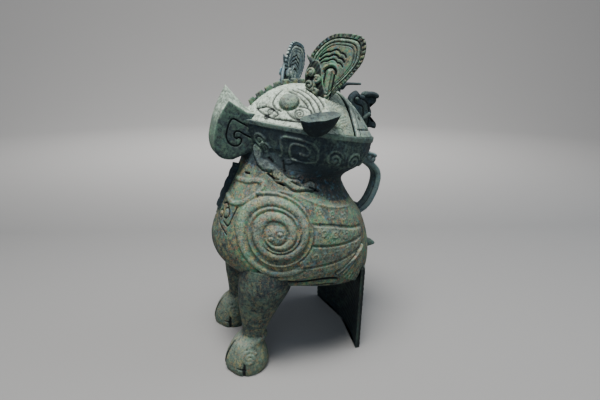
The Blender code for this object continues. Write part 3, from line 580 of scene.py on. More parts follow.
# Lines of the breast and the shoulder: degrees from the front, ring height in centimetres
BREAST_LOOP = (
    (8, 26.6), (27.6, 26.7), (42, 27.1), (48.0, 26.64),
    (41.0, 25.48), (28.5, 24.43), (15.2, 24.25), (4, 24.6),
)
BREAST_INNER = ((12, 25.9), (24, 26.0), (33, 26.1), (36, 25.6), (27, 25.05), (14, 25.0))
SHOULDER_DRAGON = (
    (24, 29.6), (33, 28.9), (44, 28.75), (55.8, 28.57), (64, 27.9), (73, 27.45), (84, 27.1), (92, 27.3),
)
MASK_LINES = (
    ((15.8, 22.0), (22.9, 21.8), (25.2, 22.9), (27.0, 24.0)),
    ((4, 23.6), (10, 23.9), (17, 23.5), (19, 22.9)),
    ((6, 21.9), (12, 21.4), (19, 21.0), (24, 20.6)),
)
DARK_SLOTS = (
    ((52, 29.25), (66, 28.62)),
    ((50, 28.05), (56, 27.75), (62, 27.6)),
    ((63, 27.25), (67, 27.1)),
    ((75, 27.6), (82, 27.2)),
    ((90, 27.1), (98, 26.7)),
    ((40, 29.2), (46, 29.05)),
    ((20, 27.45), (27, 27.5)),
)
MASK_EYES = ((15.5, 23.0, 0.0062), (7.0, 22.6, 0.0045))
DRAGON_CURLS = ((33, 29.9, 0.0085, 1.6), (57, 29.3, 0.0062, 1.3), (84, 28.0, 0.0055, 1.2))


def ring_path(line, count=24):
    table = curve(line, count)
    return on_ring(table[:, 0], table[:, 1])


def breast_carving(points):
    """Height of the looped band, the mask and the curling dragons, measured in space from their lines."""
    s = sizes()
    near = mirrored(points)
    high = np.zeros(points.shape[:-1])
    gap = gap_to(near, ring_path(BREAST_LOOP))
    high = np.maximum(high, 0.75 * s.relief * flat_top(gap, 0.0030))
    high = high - 0.6 * s.groove * cut(np.abs(gap - 0.0048), 0.0014)
    gap = gap_to(near, ring_path(BREAST_INNER))
    high = high - 0.7 * s.groove * cut(gap, 0.0015)
    gap, along = nearest(near, ring_path(SHOULDER_DRAGON))
    wave = 0.0052 + 0.0014 * np.sin(along * 26)
    high = np.maximum(high, 0.85 * s.relief * flat_top(gap, wave, 0.0014))
    high = high - 0.5 * s.groove * cut(np.abs(gap - wave - 0.0018), 0.0013)
    high = high - 1.3 * s.groove * cuts(near, [ring_path(line, 6) for line in DARK_SLOTS], 0.0018)
    high = high - s.groove * cuts(near, [ring_path(line, 12) for line in MASK_LINES], 0.0017)
    for degrees, level, radius in MASK_EYES:
        gap = np.linalg.norm(near - on_ring(degrees, level), axis=-1)
        rim = cut(np.abs(gap - radius - 0.001), 0.0016)
        high = high + 0.0016 * rounded(gap, radius) - 0.9 * s.groove * rim
    for curl in DRAGON_CURLS:
        gap = gap_to(near, scroll_on_ring(*curl))
        high = high + 0.5 * s.relief * rounded(gap, 0.0019)
    return high


def scroll_on_ring(degrees, level, radius, turns):
    """A spiral on the skin around a place, in the plane that touches the skin there."""
    across, up = tangents(on_ring, degrees, level, 1.0, 0.1)
    return spiral_line(on_ring(degrees, level), across, up, radius, 0.0012, turns, 0.4)


# Raised lines of the head's band: degrees from the front, ring height in centimetres
HEAD_FRET = (
    (47.5, 29.5), (46.8, 31.0), (48.0, 32.35), (58.0, 32.55), (69.0, 32.2), (72.0, 31.0),
    (70.5, 29.75), (62.0, 29.45), (54.0, 29.7), (52.5, 30.8), (55.0, 31.7), (62.0, 31.75),
    (66.0, 31.2), (64.5, 30.45), (59.5, 30.5),
)
HEAD_SCROLLS = (
    (86.0, 30.7, 0.0125, 1.9), (110.0, 30.8, 0.0120, 1.8),
    (134.0, 31.0, 0.0110, 1.7), (30.0, 31.0, 0.0095, 1.5),
)
HEAD_FRAMES = (76.5, 98.0, 122.0, 147.0)


def head_band_carving(points):
    """Height of the spirals on the band of the head, and of the small bright knob under it."""
    s = sizes()
    near = mirrored(points)
    gap = gap_to(near, ring_path(HEAD_FRET, 60))
    high = 0.55 * s.relief * flat_top(gap, 0.0016, 0.0011)
    for scroll in HEAD_SCROLLS:
        gap = gap_to(near, scroll_on_ring(*scroll))
        high = np.maximum(high, 0.55 * s.relief * rounded(gap, 0.0021))
    for degrees in HEAD_FRAMES:
        upright = [(degrees, level) for level in (29.3, 31.0, 32.6)]
        gap = gap_to(near, ring_path(upright, 8))
        high = np.maximum(high, 0.3 * s.relief * rounded(gap, 0.0017))
    knob = np.linalg.norm(near - on_ring(79.3, 28.9), axis=-1)
    return high + 1.2 * s.relief * rounded(knob, 0.0034)


def body_height_at(points, angle, z):
    """All the carving of body and neck at points of the plain skin."""
    side = smooth(np.abs(np.sin(angle)), 0.30, 0.42)
    back = 1 - turned(angle, 150, 162)
    ahead = 1 - turned(angle, 97, 106)
    band_z = plateau(z, 0.292, 0.2935, 0.3300, 0.3315)
    wing = wing_carving(points[..., 1], points[..., 2]) * side * back * (1 - smooth(z, 0.27, 0.275))
    high = wing + breast_carving(points) * ahead
    return high + head_band_carving(points) * band_z


def back_scales(points, angle, z):
    """A plain overlapping scale pattern on the back of the body, low and even."""
    rows = z / 0.013
    cells = points[..., 0] / 0.015 + 0.5 * np.mod(np.floor(rows), 2)
    across = np.mod(cells, 1.0) - 0.5
    down = np.mod(rows, 1.0)
    edge = np.abs(down - (0.28 + 1.9 * across**2))
    mask = turned(angle, 158, 166) * (1 - smooth(z, 0.272, 0.280))
    return -0.0009 * cut(edge, 0.16) * mask


def tone_of_skin(points, z, high):
    """Tone from dark to pale: the wings are lighter; the plain neck, the breast and the belly are darker, as
    painted shade: the neck in the shade of the head, the front of the breast and the underside of the belly.
    """
    y = points[..., 1]
    shoulder = np.interp(y, (-0.038, -0.003, 0.034, 0.06), (0.283, 0.262, 0.249, 0.246))
    # Painted shade: the plain neck between the shoulder line and the band is darkened as though in the shade
    # of the head
    neck = smooth(z, shoulder, shoulder + 0.010) * smooth(y, -0.030, -0.010)
    neck = np.maximum(neck, smooth(z, 0.278, 0.290))
    band = smooth(z, 0.290, 0.298)
    tone = 0.44 - 0.50 * neck * (1 - band) - 0.31 * band
    tone = tone + 0.12 * smooth(high, 0.0012, 0.003) * (1 - band) + 0.28 * smooth(high, 0.0005, 0.0015) * band
    # Painted shade: the front of the breast is darker, as it faces away from the light above
    tone = tone - 0.16 * (1 - smooth(y, -0.120, -0.095)) * (1 - band)
    # Painted shade: the lowest part of the belly is darker, where the body shades itself
    return tone - 0.25 * (1 - smooth(z, 0.124, 0.15))


class OWL_OT_body(bpy.types.Operator):
    """Builds the carved body of the owl from the belly to the neck, hollow and open at the neck"""

    bl_idname = "owl.body"
    bl_label = "Body and wings"

    def execute(self, context):
        s = sizes()
        angle = even_angles(436, 0.19, 150, 0.55)
        t = np.linspace(0, 1, 190) ** 1.08
        z, around = spread(BELLY_Z + t * (NECK_Z + 0.002 - BELLY_Z), angle)
        plain = ring_points(z, around)
        high = body_height_at(plain, around, z) * smooth(z, BELLY_Z + 0.002, BELLY_Z + 0.008)
        high = high + back_scales(plain, around, z)
        outer = raise_grid(plain, high)
        inner_z, inner_around = spread(np.linspace(NECK_Z + 0.002, BELLY_Z, 14), angle)
        inner = ring_points(inner_z, inner_around, s.wall)
        inner[..., 2] += s.wall * (1 - (inner_z - BELLY_Z) / s.body_height)
        middle = outer[0].mean(axis=0)
        steps = np.linspace(0.06, 0.985, 9)[:, None, None]
        floor = middle + (outer[0] - middle) * steps
        low = inner[-1].mean(axis=0)
        inside = low + (inner[-1] - low) * np.array((0.7, 0.35))[:, None, None]
        rings = np.concatenate((floor, outer, inner, inside))
        flat = np.zeros((len(floor), len(angle)))
        # Painted shade: the inside of the hollow body gets a relief below the skin and tone 0, which paints
        # it near black
        back = np.full((len(inner) + len(inside), len(angle)), -0.002)
        relief = np.concatenate((flat, high, back))
        tone = np.concatenate((flat + 0.2, tone_of_skin(plain, z, high), back * 0))
        solid = Solid(rings, relief / s.relief, tone)
        make_piece("body_and_wings", [solid], "body")
        return {"FINISHED"}


class OWL_OT_head(bpy.types.Operator):
    """Builds the neck and the head's band of spirals as one open tube of cast thickness"""

    bl_idname = "owl.head"
    bl_label = "Neck and head band"

    def execute(self, context):
        s = sizes()
        angle = even_angles(380, 0.32, 150, 0.7)
        z, around = spread(np.linspace(NECK_Z - 0.001, RIM_Z, 84), angle)
        plain = ring_points(z, around)
        high = body_height_at(plain, around, z)
        lip = smooth(z, 0.3325, 0.3340)
        high = high * (1 - lip) + 0.0012 * lip * (1 - 0.6 * smooth(z, 0.3385, 0.34))
        outer = raise_grid(plain, high)
        ledge = ring_points(np.full(angle.shape, RIM_Z), angle, s.wall)[None]
        inner = ring_points(*spread(np.linspace(RIM_Z - 0.001, NECK_Z - 0.001, 12), angle), s.wall)
        rings = np.concatenate((outer, merge_rings(outer[-1:], ledge, 2), ledge, inner))
        extra = len(rings) - len(outer)
        relief = np.concatenate((high / s.relief, np.zeros((extra, len(angle)))))
        front = 1 - turned(angle, 78, 96)
        ledge_tone = 0.35 + 0.65 * front * np.ones((extra, 1))
        tone = np.concatenate((tone_of_skin(plain, z, high) + 0.1 * lip, ledge_tone))
        solid = Solid(rings, relief, tone, loop=True)
        make_piece("neck_and_head_band", [solid], "band")
        return {"FINISHED"}


# Places of the face: degrees from the front, share of the way out from the crown, radius, rise or turns
EYE = (46.2, 0.735, 0.0130, 0.0062)
NOSTRIL = (19.7, 0.797)
FACE_SCROLLS = (
    (57.7, 0.859, 0.0074, 2.1), (34.8, 0.88, 0.0052, 1.6),
    (34.0, 0.942, 0.0040, 1.3), (73.0, 0.91, 0.0055, 1.5),
)
FACE_LINES = (
    ((47.1, 0.845), (51.4, 0.798), (58.9, 0.772), (65.2, 0.794), (67.3, 0.857), (64.7, 0.905), (59.7, 0.924),
     (53.6, 0.913), (48.7, 0.868), (47.1, 0.845)),
    ((41.4, 0.516), (54.3, 0.573), (63.6, 0.668), (68.3, 0.773), (70.4, 0.84)),
    ((40.1, 0.570), (50.2, 0.608), (59.0, 0.696), (63.5, 0.760)),
    ((45.5, 0.461), (60.1, 0.53), (69.1, 0.635), (73.9, 0.74), (75.3, 0.832)),
    ((58.0, 0.43), (69.0, 0.52), (76.0, 0.62), (79.5, 0.72)),
    ((27.2, 0.548), (28.6, 0.673), (31.3, 0.782), (37.2, 0.839), (43.0, 0.865)),
    ((18.6, 0.877), (29.9, 0.925), (39.4, 0.950), (52.0, 0.945), (64.0, 0.935), (76.0, 0.93)),
    ((21.4, 0.872), (30.0, 0.840), (37.2, 0.865), (41.8, 0.904), (40.0, 0.93)),
)


def dome_path(line, count=20):
    table = curve(line, count)
    return on_dome(table[:, 0], table[:, 1])


def scroll_on_dome(degrees, out, radius, inner, turns, start):
    """A spiral on the dome around a place, in the plane that touches the dome there."""
    across, up = tangents(on_dome, degrees, out, 1.0, 0.01)
    return spiral_line(on_dome(degrees, out), across, up, radius, inner, turns, start)


def face_carving(points, out):
    """Height of the eyes, nostrils, scrolls and plumes, measured in space from their lines."""
    s = sizes()
    near = mirrored(points)
    degrees, share_out, radius, rise = EYE
    eye = np.linalg.norm(near - on_dome(degrees, share_out), axis=-1)
    high = rise * rounded(eye, radius) ** 1.1 - 0.35 * s.groove * cut(np.abs(eye - radius - 0.0012), 0.0012)
    gap = gap_to(near, scroll_on_dome(*NOSTRIL, 0.0066, 0.0012, 1.8, 2.4))
    high = high + 0.55 * s.relief * rounded(gap, 0.0017)
    lump = np.linalg.norm(near - on_dome(*NOSTRIL), axis=-1)
    high = high + 0.0016 * rounded(lump, 0.0095) - 0.5 * s.groove * cut(np.abs(lump - 0.0100), 0.0014)
    for degrees, share_out, radius, turns in FACE_SCROLLS:
        gap = gap_to(near, scroll_on_dome(degrees, share_out, radius, 0.001, turns, 0.8))
        high = high - 1.7 * s.fine * cut(gap, 0.0020)
    clear = smooth(eye, EYE[2] + 0.001, EYE[2] + 0.003)
    high = high - 1.9 * s.fine * clear * cuts(near, map(dome_path, FACE_LINES), 0.0023)
    maze = plateau(out, 0.935, 0.945, 0.965, 0.972) * smooth(near[..., 1], -0.062, -0.052)
    return high - 0.0006 * maze * smooth(np.sin(near[..., 1] * 1500) * np.sin(out * 300), 0.0, 0.3)


def face_reach(angle, y_cut):
    """How far out the dome goes at each angle before it meets the plane of the mouth's front edge."""
    s = sizes()
    rim = ring_points(np.full(angle.shape, RIM_Z), angle, s.ledge)
    run = rim[..., 1] - CROWN_Y
    return np.where(run > y_cut - CROWN_Y, (y_cut - CROWN_Y) / np.maximum(run, 1e-6), 1.0)


class OWL_OT_face(bpy.types.Operator):
    """Builds the front of the dome with eyes, nostrils, scrolls and plumes, and the notched ridge over it"""

    bl_idname = "owl.face"
    bl_label = "Face"

    def execute(self, context):
        s = sizes()
        angle = even_angles(440, RIM_Z, 120, 0.45)
        reach = face_reach(angle, s.lid_front)
        f = np.linspace(0.02, 1, 128)[:, None] ** 0.85
        out = f * reach
        around = np.ones_like(out) * angle
        plain = dome_points(out, around)
        high = face_carving(plain, out) * (1 - turned(around, 97, 104))
        crust = turned(around, 84, 92) * (1 - smooth(f, 0.93, 0.97))
        y, z = plain[..., 1], plain[..., 2]
        lumps = np.sin(y * 900 + 4 * np.sin(z * 310)) * np.sin(z * 1100 + 3 * np.sin(y * 270))
        high = high + 0.0005 * crust * lumps
        # The rows run down from the crown, so the normals point inward and the height is turned round
        outer = raise_grid(plain, -high * (1 - smooth(f, 0.985, 1.0)))
        inner_f = np.linspace(1, 0.05, 14)[:, None]
        inner = dome_points(inner_f * reach, np.ones_like(inner_f) * angle, s.wall)
        rings = np.concatenate((outer, merge_rings(outer[-1:], inner[:1], 1), inner))
        extra = len(rings) - len(outer)
        rim_band = smooth(out, 0.965, 0.98) * (1 - turned(around, 80, 100))
        tone = 1.02 - 0.40 * turned(around, 76, 92) + 0.3 * rim_band
        eye = np.linalg.norm(mirrored(plain) - on_dome(EYE[0], EYE[1]), axis=-1)
        tone = tone - 0.68 * (1 - smooth(eye, EYE[2] - 0.0005, EYE[2] + 0.0015))
        tone = np.concatenate((tone, np.full((extra, len(angle)), 0.2)))
        relief = np.concatenate((0.7 * high / s.relief, np.zeros((extra, len(angle)))))
        shell = Solid(rings, relief, tone)
        solids = [shell, face_ridge()]
        make_piece("face_dome", solids, "face")
        return {"FINISHED"}


# A section across a plate, as (across, lift), rounded at its top corners
PLATE_SECTION = np.array((
    (-1, 0), (-1, 0), (-1, 0.55), (-0.92, 0.93), (-0.6, 1), (0.6, 1), (0.92, 0.93), (1, 0.55), (1, 0), (1, 0),
))


def middle_plate(points, normals, rises, half, sunk, relief, tone):
    """A plate along the owl's middle line: one section at each point, lifted along the normal by its rise."""
    across = PLATE_SECTION[:, 0] * half
    lift = PLATE_SECTION[:, 1] * (rises[:, None] + sunk) - sunk
    rings = points[:, None, :] + lift[..., None] * normals[:, None, :]
    rings[..., 0] += across
    return Solid(rings, relief, tone)


def line_normals(points):
    """Normals of a line in the plane x = 0, turned up or forward."""
    ahead = np.gradient(points, axis=0)
    normal = np.stack((np.zeros(len(points)), -ahead[:, 2], ahead[:, 1]), axis=-1)
    return normal / np.linalg.norm(normal, axis=1, keepdims=True)


def face_ridge():
    """The notched ridge over the face: seven square teeth, each with a smaller tooth behind it."""
    out = np.linspace(0.86, 0.06, 220)
    points = dome_points(out, np.zeros(out.shape))
    normals = line_normals(points)
    run = np.linspace(0, 7, len(out))
    teeth = smooth(np.sin(2 * math.pi * run) + 0.35 * np.sin(4 * math.pi * run + 0.6), -0.75, -0.45)
    ends = plateau(run, 0.0, 0.15, 6.9, 7.0)
    rises = 0.0006 + (0.0020 + 0.0038 * teeth) * ends
    return middle_plate(points, normals, rises, 0.0027, 0.0025, 0.3, 0.15 + 0.2 * teeth[:, None])


class OWL_OT_breast_ridge(bpy.types.Operator):
    """Builds the thin flange down the middle of the breast"""

    bl_idname = "owl.breast_ridge"
    bl_label = "Breast ridge"

    def execute(self, context):
        z = np.linspace(0.228, 0.280, 120)
        points = ring_points(z, np.zeros(z.shape))
        normals = line_normals(points)
        normals = normals * np.sign(-normals[:, 1:2])
        run = np.linspace(0, 1, len(z))
        hooks = 0.0012 * np.abs(np.sin(run * math.pi * 4.5))
        rises = (0.0055 + 0.0035 * run + hooks) * plateau(run, 0, 0.05, 0.97, 1.0) + 0.0004
        # Painted shade: the flange gets a low tone and the dark bronze, so it is painted dark as though in
        # shade
        solid = middle_plate(points, normals, rises, 0.0025, 0.0025, 0.1, 0.1)
        make_piece("breast_ridge", [solid], "dark")
        return {"FINISHED"}


# The middle of the beak's flat side: y and z
BEAK_MIDDLE = (-0.0845, 0.343)

# The hook on the beak's side and the groove inside it: y and z in centimetres
BEAK_GROOVES = (
    ((-6.0, 34.25), (-7.57, 35.11), (-8.70, 35.72), (-9.20, 35.3), (-9.69, 33.92), (-9.64, 33.06),
     (-9.23, 32.45), (-8.47, 32.2), (-7.91, 32.5), (-7.76, 33.02), (-8.08, 33.32), (-8.35, 33.15)),
    ((-6.1, 33.0), (-7.42, 33.73), (-8.10, 34.14), (-8.62, 33.95), (-8.66, 33.40), (-8.35, 33.15)),
)


def beak_outline(x, count):
    """The beak's outline in planes beside its middle: a bulged front, round below, a roof behind the peak."""
    s = sizes()
    reach, rise, drop, shoulder, root = 0.039, 0.041, 0.054, 0.019, 0.026
    aside = np.abs(x) / (s.beak_width / 2)
    _, y0, z0 = ring_points(RIM_Z, 0.0)
    low = z0 - drop

    def at(y, z):
        return np.stack((x, np.broadcast_to(y, x.shape), np.broadcast_to(z, x.shape)), axis=-1)

    peak = at(y0 - 0.34 * reach, z0 + rise - shoulder * aside)
    brow = at(y0 - reach + 0.004 * aside, z0 - 0.022)
    under = at(y0 - 0.30 * reach, low)
    corner = at(y0 - 1.06 * reach, low)
    back_low = at(y0 + root, low + 0.25 * drop)
    back_high = at(y0 + root, z0 + 0.1 * rise)
    nape = at(y0 + 0.4 * root, z0 + (0.35 - 0.20 * aside) * rise)
    f = np.linspace(0, 1, count)[:, None, None]
    bulge = np.zeros((count, 1, 3))
    bulge[:, 0, 1] = -0.10 * reach * np.sin(math.pi * f[:, 0, 0])
    parts = (
        back_high + (nape - back_high) * f,
        nape + (peak - nape) * f,
        peak + (brow - peak) * f + bulge,
        brow * (1 - f) ** 2 + corner * 2 * f * (1 - f) + under * f**2,
        under + (back_low - under) * f,
        back_low + (back_high - back_low) * f,
    )
    return np.concatenate([part[:-1] for part in parts])


class OWL_OT_beak(bpy.types.Operator):
    """Builds the hooked beak with the angular spiral cut into both of its flat sides"""

    bl_idname = "owl.beak"
    bl_label = "Beak"

    def execute(self, context):
        s = sizes()
        half = s.beak_width / 2
        x = half * np.sin(np.linspace(-0.5, 0.5, 15) * math.pi)
        loops = np.moveaxis(beak_outline(x, 26), 0, 1)
        shares = np.linspace(0.04, 0.985, 44)[:, None, None]
        centre = np.array((half, *BEAK_MIDDLE))
        near = centre + (loops[-1] - centre) * shares
        place = near[..., 1:]
        high = np.zeros(near.shape[:-1])
        for line in BEAK_GROOVES:
            gap = gap_to(place, side_curve(line, 60))
            high = np.minimum(high, -0.9 * s.groove * cut(gap, 0.0015))
        border = np.abs(shares[..., 0] - 0.90) * np.ones(high.shape)
        high = high - 0.0003 * cut(border, 0.02)
        near[..., 0] += high + 0.0010 * smooth(1 - shares[..., 0], 0.02, 0.10)
        rings = np.concatenate((near * OTHER_SIDE, loops, near[::-1]))
        side = high / s.relief
        tip = np.zeros(loops.shape[:2]) + 0.15
        relief = np.concatenate((side, tip, side[::-1]))
        level = loops[..., 2]
        # Painted light and shade: the strip round the beak's edge is paler toward the top of the beak and
        # darker on its underside
        strip = 0.62 + 0.22 * smooth(level, 0.345, 0.372) - 0.45 * (1 - smooth(level, 0.303, 0.325))
        rim = 0.5 * smooth(shares[..., 0], 0.955, 0.985) * smooth(near[..., 2], 0.31, 0.335)
        dark = 0.20 + rim
        tone = np.concatenate((dark, strip, dark[::-1]))
        solid = Solid(rings, relief, tone)
        make_piece("beak", [solid], "beak")
        return {"FINISHED"}


# Stations of an ear from its root over the rim into the dish: shares of the length, the width and the depth
EAR_STATIONS = (
    (0.0, 0.10, 0.08, 1.0), (0.5, 0.30, 0.28, 1.0), (1.0, 0.42, 0.40, 0.97), (2.0, 0.80, 0.77, 0.52),
    (3.0, 0.985, 0.985, 0.06), (3.3, 1.0, 1.0, 0.0), (3.6, 0.97, 0.97, -0.02), (4.0, 0.86, 0.84, 0.05),
    (5.0, 0.5, 0.5, 0.24), (6.0, 0.12, 0.12, 0.30),
)


class OWL_OT_ears(bpy.types.Operator):
    """Builds the two dished ears"""

    bl_idname = "owl.ears"
    bl_label = "Ears"

    def execute(self, context):
        long_, reach, depth = 0.052, 0.034, 0.024
        root = ring_points(RIM_Z, math.radians(80))
        t = np.linspace(0, 6, 60)
        along, wide, drop = (value[:, None] for value in columns(EAR_STATIONS, t))
        a = full_turn(72)
        x = root[0] - 0.006 + reach * (0.5 * wide * np.sin(a) + 0.14 - 0.20 * drop)
        y = root[1] - 0.25 * long_ + 0.5 * long_ * along * np.cos(a)
        ripple = 0.0003 * np.sin(a * 7) * plateau(t, 2.8, 3.3, 3.6, 4.2)[:, None]
        z = root[2] + 0.9 * depth + 0.14 * (y - root[1]) - depth * drop + ripple
        z = z - 0.16 * (x - root[0] - 0.004)
        near = np.stack((x, y, z), axis=-1)
        # Painted shade: the outside and underside of the ear up to its rim get tone near 0 and a relief below
        # the skin, so they are painted near black; the dish on top is paler
        dish = smooth(t, 3.0, 3.6)[:, None] * np.ones_like(a)
        relief = np.where(dish > 0.5, 0.1, -0.25) * np.ones_like(dish)
        tone = 0.02 + 0.30 * dish
        solids = [Solid(near, relief, tone), Solid(near * OTHER_SIDE, relief, tone)]
        make_piece("ears", solids, "band")
        return {"FINISHED"}


# How far the crests face outward, the share out from the crown where they stand, the middle of the carving
CREST_TURN = math.radians(40)
CREST_SHARE = 0.56
CREST_MIDDLE = 0.52
# Each crest: its side, its foot in degrees from the front, its lean back in degrees, the sweep of its top
NEAR_CREST = {"side": 1, "foot": 88, "lean": 12, "sweep": 0.0135}
FAR_CREST = {"side": -1, "foot": 66, "lean": 8, "sweep": 0.004}


def crest_frame(crest):
    """Foot of a crest on the near side, and its directions across, up and out of its face."""
    s = sizes()
    up = np.array((0.0, math.tan(math.radians(crest["lean"])), 1.0))
    up /= np.linalg.norm(up)
    face = np.array((math.sin(CREST_TURN), -math.cos(CREST_TURN), 0.0))
    across = np.cross(face, up)
    across /= np.linalg.norm(across)
    foot = on_dome(crest["foot"], CREST_SHARE) - up * 2 * s.wall
    return foot, across, up, np.cross(up, across)


def crest_bend(rise, sweep):
    """How far forward the middle line of a crest lies: a little at mid height, swept back at the top."""
    return 0.001 * np.minimum(1, rise / 0.4) - sweep * np.maximum(0.0, 2 * rise - 1) ** 1.3


def crest_outline(height, sweep, count):
    """A leaf with a broad full top and a narrow foot, once around from the foot, as (across, up).

    Its half-width grows with a sine of the height until the broadest place, times |sin|^0.6 around it.
    """
    s = sizes()
    a = full_turn(count)
    rise = 0.5 - 0.5 * np.cos(a)
    half = s.crest_width / 2 * (0.2 + 0.8 * np.sin(0.5 * math.pi * np.minimum(1, rise / 0.72)) ** 1.7)
    across = half * power(np.sin(a), 0.6) + crest_bend(rise, sweep)
    return np.stack((across, rise * height), axis=-1)


def crest_carving(u, v, f, height):
    """Carving of a crest's face: notched border, nested arches, wavy lines and an arch over a bar."""
    high = -0.0013 * cut(np.abs(f - 0.86), 0.030) - 0.0011 * cut(np.abs(f - 0.745), 0.022)
    high = high - 0.0009 * cut(np.abs(f - 0.66), 0.020) + 0.0007 * cut(np.abs(f - 0.80), 0.05)
    around = np.arctan2(u, v - CREST_MIDDLE * height)
    high = high - 0.0009 * smooth(f, 0.88, 0.91) * smooth(np.sin(around * 46), -0.1, 0.5)
    place = np.stack((u, v), axis=-1)
    wide = np.linspace(-0.016, 0.019, 40)
    for level, depth in ((0.745, 0.0013), (0.675, 0.0016), (0.61, 0.0012)):
        bow = 0.0020 * np.abs(np.cos(wide * math.pi / 0.014)) - 0.009 * (wide / 0.018) ** 2
        gap = gap_to(place, np.stack((wide + 0.0015, height * level + bow), axis=-1))
        high = high - depth * cut(gap, 0.0017)
    arch = np.hypot(u, v - 0.43 * height)
    over = smooth(v, 0.42 * height, 0.44 * height)
    arches = 0.0012 * cut(np.abs(arch - 0.0115), 0.0022) - 0.0016 * cut(np.abs(arch - 0.0080), 0.0020)
    high = high + over * arches
    legs = smooth(v, 0.10 * height, 0.13 * height) * (1 - over)
    high = high + legs * 0.0012 * cut(np.abs(np.abs(u) - 0.0115), 0.0020)
    high = high - legs * 0.0014 * cut(np.abs(np.abs(u) - 0.0066), 0.0020)
    bar = plateau(v / height, 0.04, 0.08, 0.46, 0.50)
    return high + bar * 0.0024 * flat_top(np.abs(u), 0.0027, 0.0008)


def crest_solid(crest, height):
    """One leaf-shaped crest: rings from the middle of one face over the edge to the middle of the other."""
    s = sizes()
    foot, across, up, out = crest_frame(crest)
    outline = crest_outline(height, crest["sweep"], 240)
    f = np.concatenate((np.linspace(0.02, 0.985, 76), (1.0,)))[:, None]
    middle = CREST_MIDDLE * height
    u = outline[:, 0] * f
    v = middle + (outline[:, 1] - middle) * f
    high = crest_carving(u - crest_bend(v / height, 0.6 * crest["sweep"]), v, f, height)
    thick = 0.5 * s.crest_thickness - 0.0012 + 0.0004 * smooth(f, 0.86, 0.9) - 0.0012 * smooth(f, 0.985, 1.0)
    lift = (thick + high)[..., None] * out
    base = foot + u[..., None] * across + v[..., None] * up
    rings = np.concatenate((base + lift, (base - lift)[::-1])) * (crest["side"], 1, 1)
    rim = 0.10 * smooth(f, 0.97, 1.0) - 0.25 * plateau(f, 0.87, 0.9, 0.95, 0.99)
    pale = 0.22 * cut(np.abs(f - 0.80), 0.05)
    return Solid(rings, there_and_back(high) / s.groove, there_and_back(0.52 + rim + pale + 0 * u))


def tube(path, halves, sideways, tall=None, steps=28, square=1.0):
    """A closed tube along a path, with sections across it: one axis sideways, the other normal to both.

    Its half sizes are given for each point. A square below 1 makes the section squarer.
    """
    path = np.asarray(path, float)
    ahead = np.gradient(path, axis=0)
    ahead /= np.linalg.norm(ahead, axis=1, keepdims=True)
    sideways = np.asarray(sideways, float)
    side = sideways - (ahead @ sideways)[:, None] * ahead
    side /= np.linalg.norm(side, axis=1, keepdims=True)
    lift = np.cross(ahead, side)
    a = full_turn(steps)
    halves = np.broadcast_to(halves, len(path))
    tall = halves if tall is None else np.broadcast_to(tall, len(path))
    x = power(np.cos(a), square) * halves[:, None]
    y = power(np.sin(a), square) * tall[:, None]
    return path[:, None] + x[..., None] * side[:, None] + y[..., None] * lift[:, None]


def closed_ends(t, sharp=0.06):
    """A taper that is 1 along the tube and rounds down to almost nothing at both of its ends."""
    f = np.minimum(t, 1 - t) / sharp
    return np.sqrt(np.clip(1 - (1 - np.clip(f, 0, 1)) ** 2, 0.002, 1))


# The beast on a crest's front edge, across and up from the crest's foot in centimetres
BEAST_OUTLINE = (
    (0.70, 0.35), (2.00, 0.80), (3.10, 1.35), (3.62, 2.10), (3.92, 3.30), (3.70, 4.40), (3.30, 5.05),
    (2.50, 5.15), (1.90, 4.50), (1.45, 3.30), (0.95, 2.10), (0.45, 1.20),
)
BEAST_CURLS = (
    (2.75, 1.95, 0.80, 1.5, 2.4), (2.85, 3.45, 0.62, 1.2, -0.5), (1.85, 2.75, 0.45, 1.1, 1.0),
    (1.75, 1.35, 0.42, 1.1, 3.0),
)


def crest_beast(crest):
    """The small beast that climbs a crest's front edge: a rounded plate with curls, a horn and an eye.

    Its outline is a closed curve, filled by shrinking it toward its middle. The plate bulges as a flat dome,
    and curls stand on it and dark hollows lie between them.
    """
    foot, across, up, out = crest_frame(crest)
    outline = closed_curve(side_table(BEAST_OUTLINE), 120)
    middle = outline.mean(axis=0)
    f = np.concatenate((np.linspace(0.03, 0.94, 44), (0.975, 1.0)))[:, None]
    place = middle + (outline - middle) * f[..., None]
    high = np.zeros(place.shape[:-1])
    for ahead, rise, radius, turns, start in BEAST_CURLS:
        line = spiral_line((ahead, rise), (1, 0), (0, 1), radius, 0.12, turns, start)
        gap = gap_to(place, line / 100)
        high = np.maximum(high, 0.0021 * rounded(gap, 0.0019))
    hollow = 1 - smooth(high, 0.0, 0.0008)
    ribs = 0.0002 * np.sin(place[..., 0] * 1300 + place[..., 1] * 500) * hollow
    high = (high - 0.0012 * hollow + ribs) * (1 - smooth(f, 0.90, 1.0))
    lift = (0.0058 * np.sqrt(np.clip(1 - f**6, 0.0, 1)) + high)[..., None] * out
    base = foot + (place[..., :1] - 0.004) * across + place[..., 1:] * up + 0.003 * out
    rings = np.concatenate((base + lift, (base - lift)[::-1]))
    tone = 0.36 + 0.28 * smooth(high, 0.0006, 0.0018)
    solids = [Solid(rings, there_and_back(high) / 0.0028, there_and_back(tone))]
    t = np.linspace(0, 1, 25)

    def at(ahead, rise, aside=0.0):
        return foot + (across * (ahead - 0.4) + up * rise) / 100 + out * (0.003 + aside)

    horn = curve([at(3.00, 4.75), at(3.55, 5.10), at(4.00, 5.35), at(4.32, 5.72)], 24)
    solids.append(Solid(tube(horn, 0.0042 * (1.05 - t), out), 0.0, 0.12))
    for side in (1, -1):
        line = at(2.85, 3.45) + out * side * (0.0050 + 0.0045 * t[:, None])
        eye = tube(line, 0.0034 * np.sqrt(np.clip(1 - t**3, 0.003, 1)), up, steps=16)
        solids.append(Solid(eye, 0.2, 0.6))
    for solid in solids:
        solid.rings = solid.rings * (crest["side"], 1, 1)
    return solids


